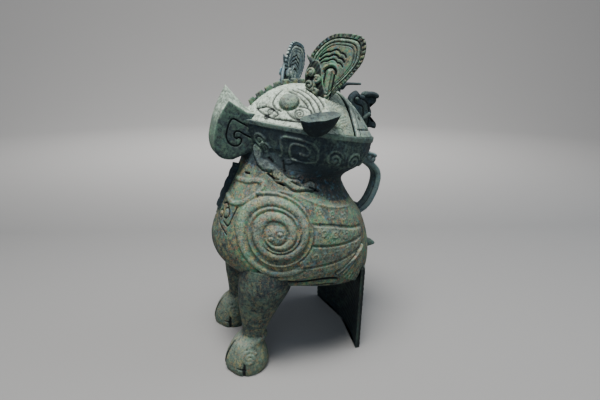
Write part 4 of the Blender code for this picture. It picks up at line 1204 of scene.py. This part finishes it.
class OWL_OT_crests(bpy.types.Operator):
    """Builds the two leaf-shaped crests and the small beasts on their front edges"""

    bl_idname = "owl.crests"
    bl_label = "Crests"

    def execute(self, context):
        s = sizes()
        near = [crest_solid(NEAR_CREST, s.crest_height)] + crest_beast(NEAR_CREST)
        make_piece("near_crest", near, "crest")
        far = [crest_solid(FAR_CREST, s.far_crest_height)] + crest_beast(FAR_CREST)
        make_piece("far_crest", far, "far_crest")
        return {"FINISHED"}


# The middle of the left foot, and the line over its toes
FOOT_X = 0.059
TOE_LINE = (
    (0.028, -0.098, 0.0125), (0.040, -0.1175, 0.0135), (0.059, -0.1235, 0.0145), (0.078, -0.1175, 0.0135),
    (0.090, -0.098, 0.0125),
)


def leg_grid():
    """One leg: ovals up a table of heights, with claws cut into the front of the foot and a spiral on it."""
    s = sizes()
    ankle_z, ankle, thigh = 0.050, 0.017, 0.038
    foot_y, ankle_y, thigh_y = -0.365 * s.body_length, -0.315 * s.body_length, -0.24 * s.body_length
    width, long_ = s.foot_width / 2, s.foot_length / 2
    top = BELLY_Z + 0.040
    stations = (
        (0.0, foot_y, 0.93 * width, 0.93 * long_, 1.0),
        (0.18 * ankle_z, foot_y, width, long_, 1.0),
        (0.50 * ankle_z, foot_y + 0.001, 0.93 * width, 0.90 * long_, 0.8),
        (0.84 * ankle_z, foot_y + 0.004, 0.73 * width, 0.68 * long_, 0.4),
        (ankle_z, ankle_y, 1.18 * ankle, 1.18 * ankle, 0.0),
        (1.10 * ankle_z, ankle_y, ankle, ankle, 0.0),
        (0.45 * top, 0.8 * ankle_y + 0.2 * thigh_y, 1.22 * ankle, 1.26 * ankle, 0.0),
        (0.62 * top, 0.45 * ankle_y + 0.55 * thigh_y, 0.76 * thigh, 0.80 * thigh, 0.0),
        (0.80 * top, thigh_y, thigh, thigh, 0.0),
        (top, thigh_y + 0.006, 0.9 * thigh, thigh, 0.0),
    )
    z = np.concatenate((np.linspace(0, 0.055, 70), np.linspace(0.056, top, 64)))
    y, half, reach, claw = (value[:, None] for value in columns(stations, z))
    a = full_turn(144)
    ahead = np.maximum(0, np.cos(a)) ** 0.5
    notch = 1 - smooth(np.abs(np.mod(a / (2 * math.pi) * 5 + 0.5, 1.0) - 0.5), 0.0, 0.11)
    rounding = 0.5 + 0.5 * np.cos(5 * a + math.pi)
    reduce = claw * ahead * (0.0022 * rounding + 0.0022 * notch) / half
    x = FOOT_X + half * (1 - reduce) * np.sin(a)
    rings = np.stack((x, y - reach * (1 - reduce) * np.cos(a), z[:, None] + 0 * a), axis=-1)
    high = foot_carving(rings)
    normal = grid_normals(rings)
    groove = -claw * ahead * notch
    # Painted light: the sine term makes one front side of each leg paler, as though lit
    tone = 0.30 + 0.22 * (1 - smooth(z, 0.045, 0.056))[:, None] + 0.05 * np.sin(a + 0.6) + 0 * high
    # Painted shade: the tops of the legs under the belly are darker
    tone = tone - 0.14 * smooth(z, 0.085, 0.115)[:, None]
    return rings + normal * high[..., None], high / s.relief + groove, tone


def foot_carving(rings):
    """A spiral on the outer and inner side of each foot, and a ring line where the toes begin."""
    high = np.zeros(rings.shape[:-1])
    for side in (1, -1):
        centre = (FOOT_X + side * 0.0265, -0.0905, 0.0285)
        line = spiral_line(centre, (0.0, 1.0, 0.0), (-0.45 * side, 0.0, 0.89), 0.0105, 0.0015, 1.7, 0.5)
        gap = gap_to(rings, line)
        high = high + 0.0013 * rounded(gap, 0.0030)
    gap = gap_to(rings, curve(TOE_LINE, 24))
    return high - 0.0014 * cut(gap, 0.0022)


class OWL_OT_legs(bpy.types.Operator):
    """Builds the two drumstick legs with their clawed feet"""

    bl_idname = "owl.legs"
    bl_label = "Legs and feet"

    def execute(self, context):
        rings, relief, tone = leg_grid()
        solids = [Solid(rings, relief, tone), Solid(rings * OTHER_SIDE, relief, tone)]
        make_piece("legs_and_feet", solids, "leg")
        return {"FINISHED"}


class OWL_OT_tail(bpy.types.Operator):
    """Builds the fluted tail plate and the small hooked beak on the rump"""

    bl_idname = "owl.tail"
    bl_label = "Tail"

    def execute(self, context):
        s = sizes()
        thick, bulge, flutes, flute_depth = 0.0085, 0.014, 5, 0.0022
        rump = ring_points(BELLY_Z, math.pi)[1] - thick / 2
        f = np.linspace(-1, 1, 110)
        y = rump - bulge * f**2
        flute = np.abs(np.sin(0.5 * math.pi * flutes * (f + 1)))
        back_y = y + thick / 2 - flute_depth + flute_depth * flute
        x = s.tail_width / 2 * f
        front = np.stack((x, y - thick / 2), axis=-1)
        back = np.stack((x, back_y), axis=-1)[::-1]
        outline = np.concatenate((front, back))
        z = np.linspace(0, BELLY_Z + 0.016, 90)
        rings = np.zeros((len(z), len(outline), 3))
        rings[..., :2] = outline
        rings[..., 2] = z[:, None]
        barb = 0.0004 * np.sin(z[:, None] * 700 + np.abs(there_and_back(f)) * 9)
        behind = np.repeat((0.0, 1.0), len(f))
        rings[..., 1] += (2 * behind - 1) * barb
        # Painted shade: the tail's inner face toward the body gets a relief below the skin and a lower tone
        # than its back, so it is painted dark
        relief = np.concatenate((0 * f - 0.25, (flute - 0.6)[::-1] * 0.8)) + 0 * z[:, None]
        tone = 0.12 + 0.25 * behind + 0.25 * smooth(np.abs(outline[:, 0]), 0.076, 0.079) + 0 * z[:, None]
        solids = [Solid(rings, relief, tone)]
        root = ring_points(BELLY_Z + 0.035, math.pi)
        t = np.linspace(-0.3, 1.0, 44)
        path = root + np.stack((0 * t, 0.030 * t, -0.2 * 0.030 * np.abs(t) * t), axis=-1)
        half = np.interp(t, (-0.35, 0.25, 0.7, 1.0), (0.011, 0.010, 0.006, 0.0018))
        tip = np.sqrt(np.clip((1.01 - t) * 14, 0, 1))
        solids.append(Solid(tube(path, half * tip, (1, 0, 0)), 0.0, 0.35))
        make_piece("tail_and_rump", solids, "limb")
        return {"FINISHED"}


HANDLE_TOP_Z, HANDLE_LOW_Z = 0.305, 0.205
# A horn beside the handle's head: across, behind and above the middle of the head
HANDLE_HORN = (
    (0.006, -0.004, 0.012), (0.011, -0.002, 0.0150), (0.013, 0.006, 0.0125), (0.009, 0.010, 0.0085),
)


def handle_path(count):
    """The middle line of the handle's strap, from the head to the body."""
    s = sizes()
    _, top_y, top_z = ring_points(HANDLE_TOP_Z, math.pi)
    _, low_y, low_z = ring_points(HANDLE_LOW_Z, math.pi)
    reach = 0.056 - s.handle_thickness / 2
    base = 0.5 * (top_y + low_y) - 0.012
    span = top_z - low_z
    points = (
        (0, top_y - 0.008, top_z - 0.002),
        (0, top_y + 0.016, top_z - 0.001),
        (0, base + 0.97 * reach, top_z - 0.24 * span),
        (0, base + reach, top_z - 0.54 * span),
        (0, base + 0.72 * reach, low_z + 0.12 * span),
        (0, low_y - 0.006, low_z - 0.004),
    )
    return curve(points, count - 1)


class OWL_OT_handle(bpy.types.Operator):
    """Builds the loop handle with the animal head that grips its top and the rolled knob at its foot"""

    bl_idname = "owl.handle"
    bl_label = "Handle"

    def execute(self, context):
        s = sizes()
        path = handle_path(130)
        t = np.linspace(0, 1, len(path))
        rings = tube(path, s.handle_width / 2, (1, 0, 0), s.handle_thickness / 2, 48, 0.7)
        across = rings[..., 0] / (s.handle_width / 2)
        normal = grid_normals(rings)
        normal = normal * np.sign(np.einsum("ijk,ijk->ij", normal, rings - path[:, None]))[..., None]
        seam = -0.0010 * cut(np.abs(np.abs(across) - 0.62), 0.10) * smooth(t, 0.1, 0.2)[:, None]
        arcs = np.abs(np.mod(t * 16, 1.0)[:, None] - 0.5 - 0.25 * across**2)
        scales = -0.0003 * cut(arcs, 0.12) * (np.abs(across) < 0.55)
        high = seam + scales
        rings = rings + normal * high[..., None]
        solids = [Solid(rings, high / s.groove, 0.34 + 0.2 * (np.abs(across) > 0.7))]
        solids += handle_head(path)
        make_piece("handle", solids, "handle")
        return {"FINISHED"}


def tapered(points, radius, sideways, steps=28):
    """A round tube through a few points, rounded down at both of its ends."""
    taper = closed_ends(np.linspace(0, 1, 26), 0.2)
    return tube(curve(points, 25), radius * taper, sideways, steps=steps)


def eye_stud(side, inner, reach, y, z, radius):
    """A round eye that stands out sideways from inner by reach, with a domed end."""
    q = np.linspace(0, 1, 26)
    line = np.stack((side * (inner + reach * q), y + 0 * q, z + 0 * q), axis=-1)
    return tube(line, radius * np.sqrt(np.clip(1 - q**3, 0.004, 1)), (0, 1, 0), steps=14)


def handle_head(path):
    """The head on top of the handle: a tapered block with horns and eyes, and a knob at the strap's foot."""
    _, y, z = path[int(len(path) * 0.285)]
    t = np.linspace(-1, 1, 50)
    stations = ((-1.0, 0.0080, 0.0060), (-0.4, 0.0140, 0.0100), (0.4, 0.0130, 0.0090), (1.0, 0.0060, 0.0050))
    half, tall = columns(stations, t)
    taper = closed_ends((t + 1) / 2, 0.1)
    line = np.stack((0 * t, y + 0.002 + 0.010 * t, z + 0.006 - 0.004 * t), axis=-1)
    brow = 1 + 0.10 * np.sin(t * 9)
    solids = [Solid(tube(line, half * taper * brow, (1, 0, 0), tall * taper), 0.1, 0.42)]
    for side in (1, -1):
        horn = np.array(HANDLE_HORN) * (side, 1, 1) + (0, y, z)
        solids.append(Solid(tapered(horn, 0.0026, (0, 1, 0), 16), 0.2, 0.5))
        solids.append(Solid(eye_stud(side, 0.010, 0.0045, y + 0.005, z + 0.006, 0.0028), 0.3, 0.6))
    _, low_y, low_z = path[int(len(path) * 0.93)]
    q = np.linspace(0, 1, 26)
    knob = np.stack((0.022 * q - 0.011, low_y + 0 * q, low_z + 0.0065 + 0 * q), axis=-1)
    solids.append(Solid(tube(knob, 0.0050 * closed_ends(q, 0.15), (0, 1, 0)), 0.0, 0.15))
    return solids


def lid_section(angle, cut_y):
    """Shares outward, and outer and inner points of the lid at each angle, from its front edge to the rim."""
    s = sizes()
    first = face_reach(angle, cut_y)[:, None]
    out = first + (1 - first) * np.linspace(0, 1, 70)
    around = np.ones_like(out) * angle[:, None]
    outer = dome_points(out, around, -s.lid_proud)
    return out, outer, dome_points(out[:, ::5], around[:, ::5], s.wall - s.lid_proud)


class OWL_OT_lid(bpy.types.Operator):
    """Builds the loose lid as a thin shell at the back of the head, with feather carving"""

    bl_idname = "owl.lid"
    bl_label = "Lid"

    def execute(self, context):
        s = sizes()
        cut_y = s.lid_front + s.lid_gap
        fine = np.linspace(0, math.pi, 4001)
        rim = ring_points(np.full(fine.shape, RIM_Z), fine, s.ledge - s.lid_proud)
        start = fine[np.argmax(rim[:, 1] > cut_y + 0.0004)]
        u = np.linspace(0, 1, 230)
        angle = start + (2 * math.pi - 2 * start) * u
        out, outer, inner = lid_section(angle, cut_y)
        high = self.carving(outer, out)
        normal = np.cross(np.gradient(outer, axis=0), np.gradient(outer, axis=1))
        normal /= np.maximum(np.linalg.norm(normal, axis=-1, keepdims=True), 1e-12)
        normal = normal * np.sign(normal[..., 2:3] + 1e-9)
        ends = smooth(np.minimum(u, 1 - u), 0.0, 0.02)[:, None]
        outer = outer + normal * (high * ends)[..., None]
        outer[..., 1] = np.maximum(outer[..., 1], cut_y)
        inner[..., 1] = np.maximum(inner[..., 1], cut_y)
        inner[:, -1, 2] = outer[:, -1, 2]
        rings = np.concatenate((outer, inner[:, ::-1]), axis=1) + (0, 0, 0.0004)
        back = np.zeros(inner.shape[:2])
        relief = np.concatenate((high / s.relief, back), axis=1)
        lip = 0.25 * (1 - smooth(outer[..., 1], cut_y + 0.002, cut_y + 0.004))
        tone = np.concatenate((0.50 + lip, back + 0.1), axis=1)
        make_piece("lid_shell", [Solid(rings, relief, tone)], "lid", "lid")
        return {"FINISHED"}

    def carving(self, points, out):
        """Rows of feathers that hang toward the rim, between a front border and the rim's border."""
        s = sizes()
        rows = (1 - out) * 7.0
        cells = points[..., 0] / (0.011 + 0.004 * out) + 0.5 * np.mod(np.floor(rows), 2)
        across = np.mod(cells, 1.0) - 0.5
        edge = np.abs(np.mod(rows, 1.0) - 0.15 - 2.2 * across**2)
        ahead = points[..., 1] - s.lid_front
        inner = smooth(ahead, 0.012, 0.015) * (1 - smooth(out, 0.93, 0.95))
        high = -0.0012 * cut(edge, 0.20) * inner - 0.0014 * cut(np.abs(ahead - 0.0105), 0.0016)
        return high - 0.0010 * cut(np.abs(out - 0.94), 0.012)


# The dragon's side: distance behind the foot of the dome and height above the rim, once around
DRAGON_OUTLINE = (
    (-0.0250, 0.0270), (-0.0225, 0.0425), (-0.0123, 0.0497), (-0.0094, 0.0455), (0.0052, 0.0425),
    (0.0195, 0.0415), (0.0205, 0.0340), (0.0090, 0.0315), (0.0135, 0.0200), (0.0140, 0.0040),
    (0.0235, 0.0005), (0.0230, -0.0060), (0.0131, -0.0040), (0.0010, -0.0070), (-0.0070, 0.0010),
    (-0.0150, 0.0140),
)
# A groove on its flank in the same measures, then a horn and a leg with the distance across first
DRAGON_SPINE = ((-0.012, 0.036), (0.002, 0.028), (0.004, 0.004))
DRAGON_HORN = (
    (0.0045, 0.000, 0.043), (0.0070, 0.008, 0.045), (0.0075, 0.016, 0.0435), (0.0060, 0.0225, 0.0395),
)
DRAGON_LEG = ((0.004, 0.004, 0.004), (0.009, 0.000, 0.010), (0.010, 0.006, 0.016), (0.006, 0.010, 0.013))


def closed_curve(points, count):
    """A smooth closed curve through a few points, by wrapping the table at both ends."""
    points = np.asarray(points, float)
    n = len(points)
    index = np.arange(-2, n + 3)
    table = np.column_stack((index, points[index % n]))
    return np.stack(columns(table, np.arange(count) / count * n), axis=-1)


class OWL_OT_lid_figures(bpy.types.Operator):
    """Builds the small bird and the dragon that are cast on the lid"""

    bl_idname = "owl.lid_figures"
    bl_label = "Bird and dragon"

    def execute(self, context):
        solids = self.dragon() + self.bird()
        make_piece("lid_bird_and_dragon", solids, "dark", "lid")
        return {"FINISHED"}

    def dragon(self):
        """A climbing dragon: its side outline carried across, rounded toward both of its flanks."""
        back = dome_points(1.0, math.pi)[1]
        outline = closed_curve(DRAGON_OUTLINE, 150)
        middle = np.array((0.0040, 0.0210))
        half = 0.006
        x = half * np.sin(np.linspace(-0.5, 0.5, 17) * math.pi)
        scale = 1 - 0.14 * np.abs(x / half) ** 3
        sides = np.linspace(0.05, 0.97, 12)
        x_all = np.concatenate((np.full(12, -half), x, np.full(12, half)))
        size = np.concatenate((sides * scale[0], scale, (sides * scale[-1])[::-1]))
        flat = middle + (outline[None] - middle) * size[:, None, None]
        across = np.broadcast_to(x_all[:, None], flat.shape[:2])
        rings = np.stack((across, back + flat[..., 0], RIM_Z + flat[..., 1]), axis=-1)
        gap = gap_to(flat, curve(DRAGON_SPINE, 20))
        flank = np.abs(x_all)[:, None] > 0.0059
        grooves = -0.0009 * cut(np.abs(gap - 0.0045), 0.0014) * flank
        rings[..., 0] += np.sign(x_all)[:, None] * grooves
        solids = [Solid(rings, grooves / 0.0012, 0.12)]
        for side in (1, -1):
            horn = np.array(DRAGON_HORN) * (side, 1, 1) + (0, back, RIM_Z)
            leg = np.array(DRAGON_LEG) * (side, 1, 1) + (0, back, RIM_Z)
            solids.append(Solid(tapered(horn, 0.0034, (1, 0, 0)), 0.0, 0.2))
            solids.append(Solid(eye_stud(side, 0.004, 0.0040, back - 0.012, RIM_Z + 0.038, 0.0032), 0.2, 0.3))
            solids.append(Solid(tapered(leg, 0.0030, (1, 0, 0)), 0.0, 0.15))
        return solids

    def bird(self):
        """A small bird on a post: a body of round sections, and a rod-like tail that points back."""
        s = sizes()
        post_y = s.lid_front + s.lid_gap + 0.0085
        base = RIM_Z + 0.78 * s.dome_height
        tall, long_ = 0.0165, 0.044
        stations = (
            (0.00, 0.97, 0.0006, 0.0006), (0.05, 0.99, 0.0018, 0.0018), (0.10, 1.00, 0.0038, 0.0040),
            (0.18, 0.84, 0.0045, 0.0052), (0.34, 0.64, 0.0048, 0.0050), (0.48, 0.82, 0.0026, 0.0024),
            (0.90, 0.82, 0.0022, 0.0017), (1.00, 0.82, 0.0022, 0.0017),
        )
        t = np.linspace(0, 1, 90)
        level, half, high = columns(stations, t)
        line = np.stack((0 * t, post_y + long_ * (t - 0.18), base + tall * level), axis=-1)
        a = full_turn(28)
        taper = np.where(t > 0.985, 0.6, 1.0)[:, None]
        rings = line[:, None] + np.stack(
            (half[:, None] * taper * np.sin(a), 0 * taper * a, high[:, None] * taper * np.cos(a)), axis=-1
        )
        q = np.linspace(0, 1, 20)
        post = np.stack((0 * q, post_y + 0 * q, base + tall * (1.3 * q - 0.7)), axis=-1)
        waist = 0.0042 * (1 - 0.15 * np.sin(q * math.pi))
        return [Solid(rings, 0.0, 0.15), Solid(tube(post, waist, (1, 0, 0)), 0.0, 0.15)]


# Bronze and its patina


class Graph:
    """A material's node tree, with one method that adds any node."""

    def __init__(self, name):
        self.material = bpy.data.materials.new(name)
        self.material.use_nodes = True
        self.tree = self.material.node_tree
        self.surface = self.tree.nodes["Principled BSDF"]

    def node(self, kind, settings=None, inputs=None):
        """Adds a node, sets its settings, then fills its sockets with values or links."""
        made = self.tree.nodes.new(kind)
        for key, value in (settings or {}).items():
            setattr(made, key, value)
        for key, value in (inputs or {}).items():
            self.fill(made.inputs[key], value)
        return made

    def fill(self, socket, value):
        if isinstance(value, Wire):
            value = value.socket
        if isinstance(value, bpy.types.NodeSocket):
            self.tree.links.new(value, socket)
        else:
            socket.default_value = value

    def noise(self, place, scale, detail=3.0, rough=0.55, shift=0.0):
        """A noise texture whose place is moved by shift, so that no two patterns lie on each other."""
        offset = (shift, 0.7 * shift, -0.4 * shift)
        moved = self.node("ShaderNodeVectorMath", {"operation": "ADD"}, {0: place, 1: offset})
        texture = self.node(
            "ShaderNodeTexNoise",
            {"noise_dimensions": "3D"},
            {"Vector": moved.outputs[0], "Scale": scale, "Detail": detail, "Roughness": rough},
        )
        return Wire(self, texture.outputs["Fac"])

    def mix(self, factor, first, second):
        """Mixes two colours."""
        node = self.node("ShaderNodeMix", {"data_type": "RGBA", "clamp_factor": True})
        self.fill(node.inputs[0], factor)
        self.fill(node.inputs[6], first)
        self.fill(node.inputs[7], second)
        return node.outputs[2]

    def attribute(self, name):
        return Wire(self, self.node("ShaderNodeAttribute", {"attribute_name": name}).outputs["Fac"])


class Wire:
    """A number socket. Sums, differences and products on it add their Math nodes."""

    def __init__(self, graph, socket):
        self.graph, self.socket = graph, socket

    def math(self, operation, first, second):
        node = self.graph.node("ShaderNodeMath", {"operation": operation}, {0: first, 1: second})
        return Wire(self.graph, node.outputs[0])

    def __add__(self, other):
        return self.math("ADD", self, other)

    def __radd__(self, other):
        return self.math("ADD", other, self)

    def __sub__(self, other):
        return self.math("SUBTRACT", self, other)

    def __rsub__(self, other):
        return self.math("SUBTRACT", other, self)

    def __mul__(self, other):
        return self.math("MULTIPLY", self, other)

    def __rmul__(self, other):
        return self.math("MULTIPLY", other, self)

    def step(self, low, high):
        """A smooth step from 0 at low to 1 at high."""
        node = self.graph.node(
            "ShaderNodeMapRange",
            {"interpolation_type": "SMOOTHSTEP"},
            {"Value": self, "From Min": low, "From Max": high},
        )
        return Wire(self.graph, node.outputs[0])


# For each kind: shares of malachite, azurite, cuprite, ochre, dust and blue film, and a shift of tone
PATINA = {
    "body": (0.70, 0.45, 0.70, 0.60, 0.35, 0.00, 0.00),
    "band": (0.16, 0.16, 0.06, 0.05, 0.35, 0.10, -0.02),
    "face": (0.45, 0.08, 0.14, 0.35, 0.85, 0.00, 0.00),
    "beak": (0.45, 0.10, 0.06, 0.10, 0.55, 0.08, 0.00),
    "crest": (0.85, 0.50, 0.40, 0.35, 0.30, 0.00, 0.02),
    "far_crest": (0.15, 1.00, 0.02, 0.00, 0.45, 0.62, 0.30),
    "lid": (0.60, 0.60, 0.18, 0.12, 0.70, 0.22, 0.20),
    # The dark bronze paints the breast ridge as though in shade, which is painted shade; the lid's bird and
    # dragon use it too
    "dark": (0.12, 0.16, 0.05, 0.03, 0.12, 0.12, -0.10),
    "leg": (0.18, 0.06, 0.40, 0.50, 0.45, 0.03, 0.00),
    "limb": (0.30, 0.22, 0.12, 0.15, 0.35, 0.08, 0.00),
    "handle": (0.15, 0.50, 0.08, 0.05, 0.40, 0.40, 0.00),
}


def bronze(kind):
    """Old bronze: slate to grey-green by the piece's tone, which on some pieces also carries painted light
    and shade, with crusts, specks, pale dust and painted shade in the grooves.

    Noises of four sizes on Object coordinates place the crusts and the specks. The relief attribute
    paints shade onto what lies below the skin and brightens what stands above it.
    """
    name = "owl_bronze_" + kind
    if name in bpy.data.materials:
        return bpy.data.materials[name]
    c = colours()
    malachite, azurite, cuprite, ochre, dust, film_blue, shift = PATINA[kind]
    graph = Graph(name)
    place = graph.node("ShaderNodeTexCoord").outputs["Object"]
    broad = graph.noise(place, 26, 3, 0.6)
    patch = graph.noise(place, 85, 4, 0.62, 3.1)
    speck = graph.noise(place, 310, 3, 0.6, 7.7)
    grain = graph.noise(place, 900, 2, 0.6, 1.9)
    relief = graph.attribute("relief")
    tone = graph.attribute("tone") + shift
    cloudy = tone + (broad - 0.5) * 0.7 + (patch - 0.5) * 0.9 + (speck - 0.5) * 0.8
    lively = 0.15 + 0.85 * tone.step(0.05, 0.45)
    washed = film_blue * (0.6 + 0.8 * patch) * tone.step(-0.2, 0.6)
    green = (patch * 0.6 + speck * 0.4 + (broad - 0.5) * 0.5).step(0.49, 0.60)
    blue = (graph.noise(place, 120, 3, 0.6, 12.3) * 0.62 + speck * 0.38).step(0.53, 0.62)
    red = (graph.noise(place, 190, 3, 0.65, 21.0) * 0.55 + grain * 0.45).step(0.53, 0.60)
    earth = (graph.noise(place, 140, 3, 0.6, 31.0) * 0.6 + grain * 0.4).step(0.51, 0.61)
    geometry = graph.node("ShaderNodeNewGeometry")
    up = graph.node("ShaderNodeSeparateXYZ", None, {0: geometry.outputs["Normal"]})
    upward = Wire(graph, up.outputs[2]).step(0.15, 0.98)
    film = upward * (0.20 + speck * 0.7 + patch * 0.5) * (dust * c.dust) * tone.step(0.05, 0.60)
    bright = cloudy.step(0.66, 1.25) * (0.45 + 0.55 * speck.step(0.32, 0.58))
    worn = relief.step(0.35, 1.0) * (0.03 + 0.14 * (speck * 0.5 + grain * 0.5).step(0.45, 0.62))
    pits = 1 - (grain * 0.5 + speck * 0.5).step(0.36, 0.46)
    # Painted shade: the further a place lies below the skin, the more it takes the groove colour
    depth = (0 - relief).step(0.04, 0.48)
    base = (*c.slate, 1.0)
    for factor, tint in (
        (cloudy.step(0.0, 0.70), c.green),
        (washed, c.blue_film),
        (green * malachite * lively, c.malachite),
        (blue * azurite, c.azurite),
        (red * cuprite * lively, c.cuprite),
        (earth * ochre * lively, c.ochre),
        (film, c.pale),
        (bright, c.pale),
        (worn, c.pale),
        (pits * 0.65, c.groove),
        (depth * 0.97, c.groove),
    ):
        base = graph.mix(factor, base, (*tint, 1.0))
    height = grain * 0.35 + speck * 0.75 + patch * 0.8
    bump = graph.node("ShaderNodeBump", None, {"Strength": 0.65, "Distance": 0.0013, "Height": height})
    graph.fill(graph.surface.inputs["Base Color"], base)
    graph.fill(graph.surface.inputs["Roughness"], 0.52 + 0.38 * speck)
    graph.fill(graph.surface.inputs["Normal"], bump.outputs[0])
    graph.surface.inputs["Metallic"].default_value = 0.0
    graph.surface.inputs["Specular IOR Level"].default_value = 0.15
    return graph.material


# Stage

CAMERA_TARGET = (-0.0040, -0.0219, 0.2170)
CAMERA_PLACE = (0.5171, -0.1871, 0.4090)
CAMERA_LENS = 22.57
CAMERA_SHIFT = (0.0237, 0.01425)
# The floor is flat this far out and then bends up into a wall with this radius
FLOOR_FLAT, FLOOR_BEND = 3.0, 3.2
# Each light: name, place, target, size, watts, tint
LIGHTS = (
    ("key_light", (0.30, -0.28, 1.75), (0, 0, 0.25), 0.6, 46.0, (1.0, 0.98, 0.94)),
    ("fill_light", (1.5, -0.7, 0.95), (0, 0, 0.25), 1.4, 6.0, (0.78, 0.89, 1.0)),
    ("back_light", (0.2, 1.3, 1.2), (0, 0, 0.25), 0.9, 8.0, (0.90, 0.95, 1.0)),
    ("wall_light", (-1.0, 0.2, 2.4), (-4.2, 1.1, 1.6), 2.0, 245.0, (1.0, 0.98, 0.95)),
)


def look_at(obj, place, target):
    """Places an object and turns its -Z axis to the target, with its Y axis upward."""
    obj.location = place
    obj.rotation_euler = (Vector(target) - Vector(place)).to_track_quat("-Z", "Y").to_euler()


class OWL_OT_stage(bpy.types.Operator):
    """Sets the plain floor, the soft lights and the camera"""

    bl_idname = "owl.stage"
    bl_label = "Stage"

    def execute(self, context):
        scene = context.scene
        run = np.linspace(0.02, 9.0, 120)
        bend = np.clip((run - FLOOR_FLAT) / 6.0, 0, 1) * math.pi / 2
        rise = FLOOR_BEND * (1 - np.cos(bend))
        out = np.where(run > FLOOR_FLAT, FLOOR_FLAT + FLOOR_BEND * np.sin(bend), run)
        a = full_turn(96)
        out, rise = out[:, None], rise[:, None]
        points = np.stack((out * np.cos(a), out * np.sin(a), rise + 0 * a), axis=-1)
        points = np.concatenate((points.reshape(-1, 3), np.zeros((1, 3))))
        i, j = np.meshgrid(np.arange(len(run) - 1) * len(a), np.arange(len(a)), indexing="ij")
        k = (j + 1) % len(a)
        faces = np.stack((i + j, i + len(a) + j, i + len(a) + k, i + k), axis=-1).reshape(-1, 4).tolist()
        faces += [(len(points) - 1, first, (first + 1) % len(a)) for first in range(len(a))]
        mesh = bpy.data.meshes.new("floor")
        mesh.from_pydata(points.tolist(), [], faces)
        mesh.update()
        mesh.shade_smooth()
        floor = bpy.data.objects.new("floor", mesh)
        scene.collection.objects.link(floor)
        graph = Graph("plain_floor")
        place = graph.node("ShaderNodeTexCoord").outputs["Object"]
        cloud = graph.noise(place, 1.5, 2, 0.5)
        tint = graph.mix(cloud * 0.06, (*colours().floor, 1.0), (0.40, 0.40, 0.40, 1.0))
        graph.fill(graph.surface.inputs["Base Color"], tint)
        graph.surface.inputs["Roughness"].default_value = 0.95
        graph.surface.inputs["Specular IOR Level"].default_value = 0.1
        mesh.materials.append(graph.material)
        world = bpy.data.worlds.new("studio")
        world.use_nodes = True
        background = world.node_tree.nodes["Background"]
        background.inputs[0].default_value = (0.70, 0.82, 1.0, 1.0)
        background.inputs[1].default_value = 0.30
        scene.world = world
        for name, place, target, size, watts, tint in LIGHTS:
            lamp = bpy.data.lights.new(name, "AREA")
            lamp.energy = watts
            lamp.size = size
            lamp.color = tint
            made = bpy.data.objects.new(name, lamp)
            look_at(made, place, target)
            scene.collection.objects.link(made)
        camera = bpy.data.cameras.new("camera")
        camera.sensor_width = 36
        camera.lens = CAMERA_LENS
        camera.shift_x, camera.shift_y = CAMERA_SHIFT
        camera.clip_start = 0.01
        made = bpy.data.objects.new("camera", camera)
        look_at(made, CAMERA_PLACE, CAMERA_TARGET)
        scene.collection.objects.link(made)
        scene.camera = made
        return {"FINISHED"}


class OWL_PT_panel(bpy.types.Panel):
    """Lists the pieces of the owl vessel in the sidebar"""

    bl_idname = "OWL_PT_panel"
    bl_label = "Owl vessel"
    bl_space_type = "VIEW_3D"
    bl_region_type = "UI"
    bl_category = "Owl vessel"

    def draw(self, context):
        for operator in OPERATORS:
            self.layout.operator(operator.bl_idname)
        for group in (context.scene.owl_sizes, context.scene.owl_colours):
            for name in group.__annotations__:
                self.layout.prop(group, name)


OPERATORS = (
    OWL_OT_body, OWL_OT_head, OWL_OT_face, OWL_OT_breast_ridge, OWL_OT_beak, OWL_OT_ears, OWL_OT_crests,
    OWL_OT_legs, OWL_OT_tail, OWL_OT_handle, OWL_OT_lid, OWL_OT_lid_figures, OWL_OT_stage,
)


def register():
    for kind in (OwlSizes, OwlColours, *OPERATORS, OWL_PT_panel):
        bpy.utils.register_class(kind)
    bpy.types.Scene.owl_sizes = PointerProperty(type=OwlSizes)
    bpy.types.Scene.owl_colours = PointerProperty(type=OwlColours)


def unregister():
    del bpy.types.Scene.owl_colours
    del bpy.types.Scene.owl_sizes
    for kind in (OWL_PT_panel, *reversed(OPERATORS), OwlColours, OwlSizes):
        bpy.utils.unregister_class(kind)


def main():
    register()
    for operator in OPERATORS:
        group, name = operator.bl_idname.split(".")
        getattr(getattr(bpy.ops, group), name)()


if __name__ == "__main__":
    main()
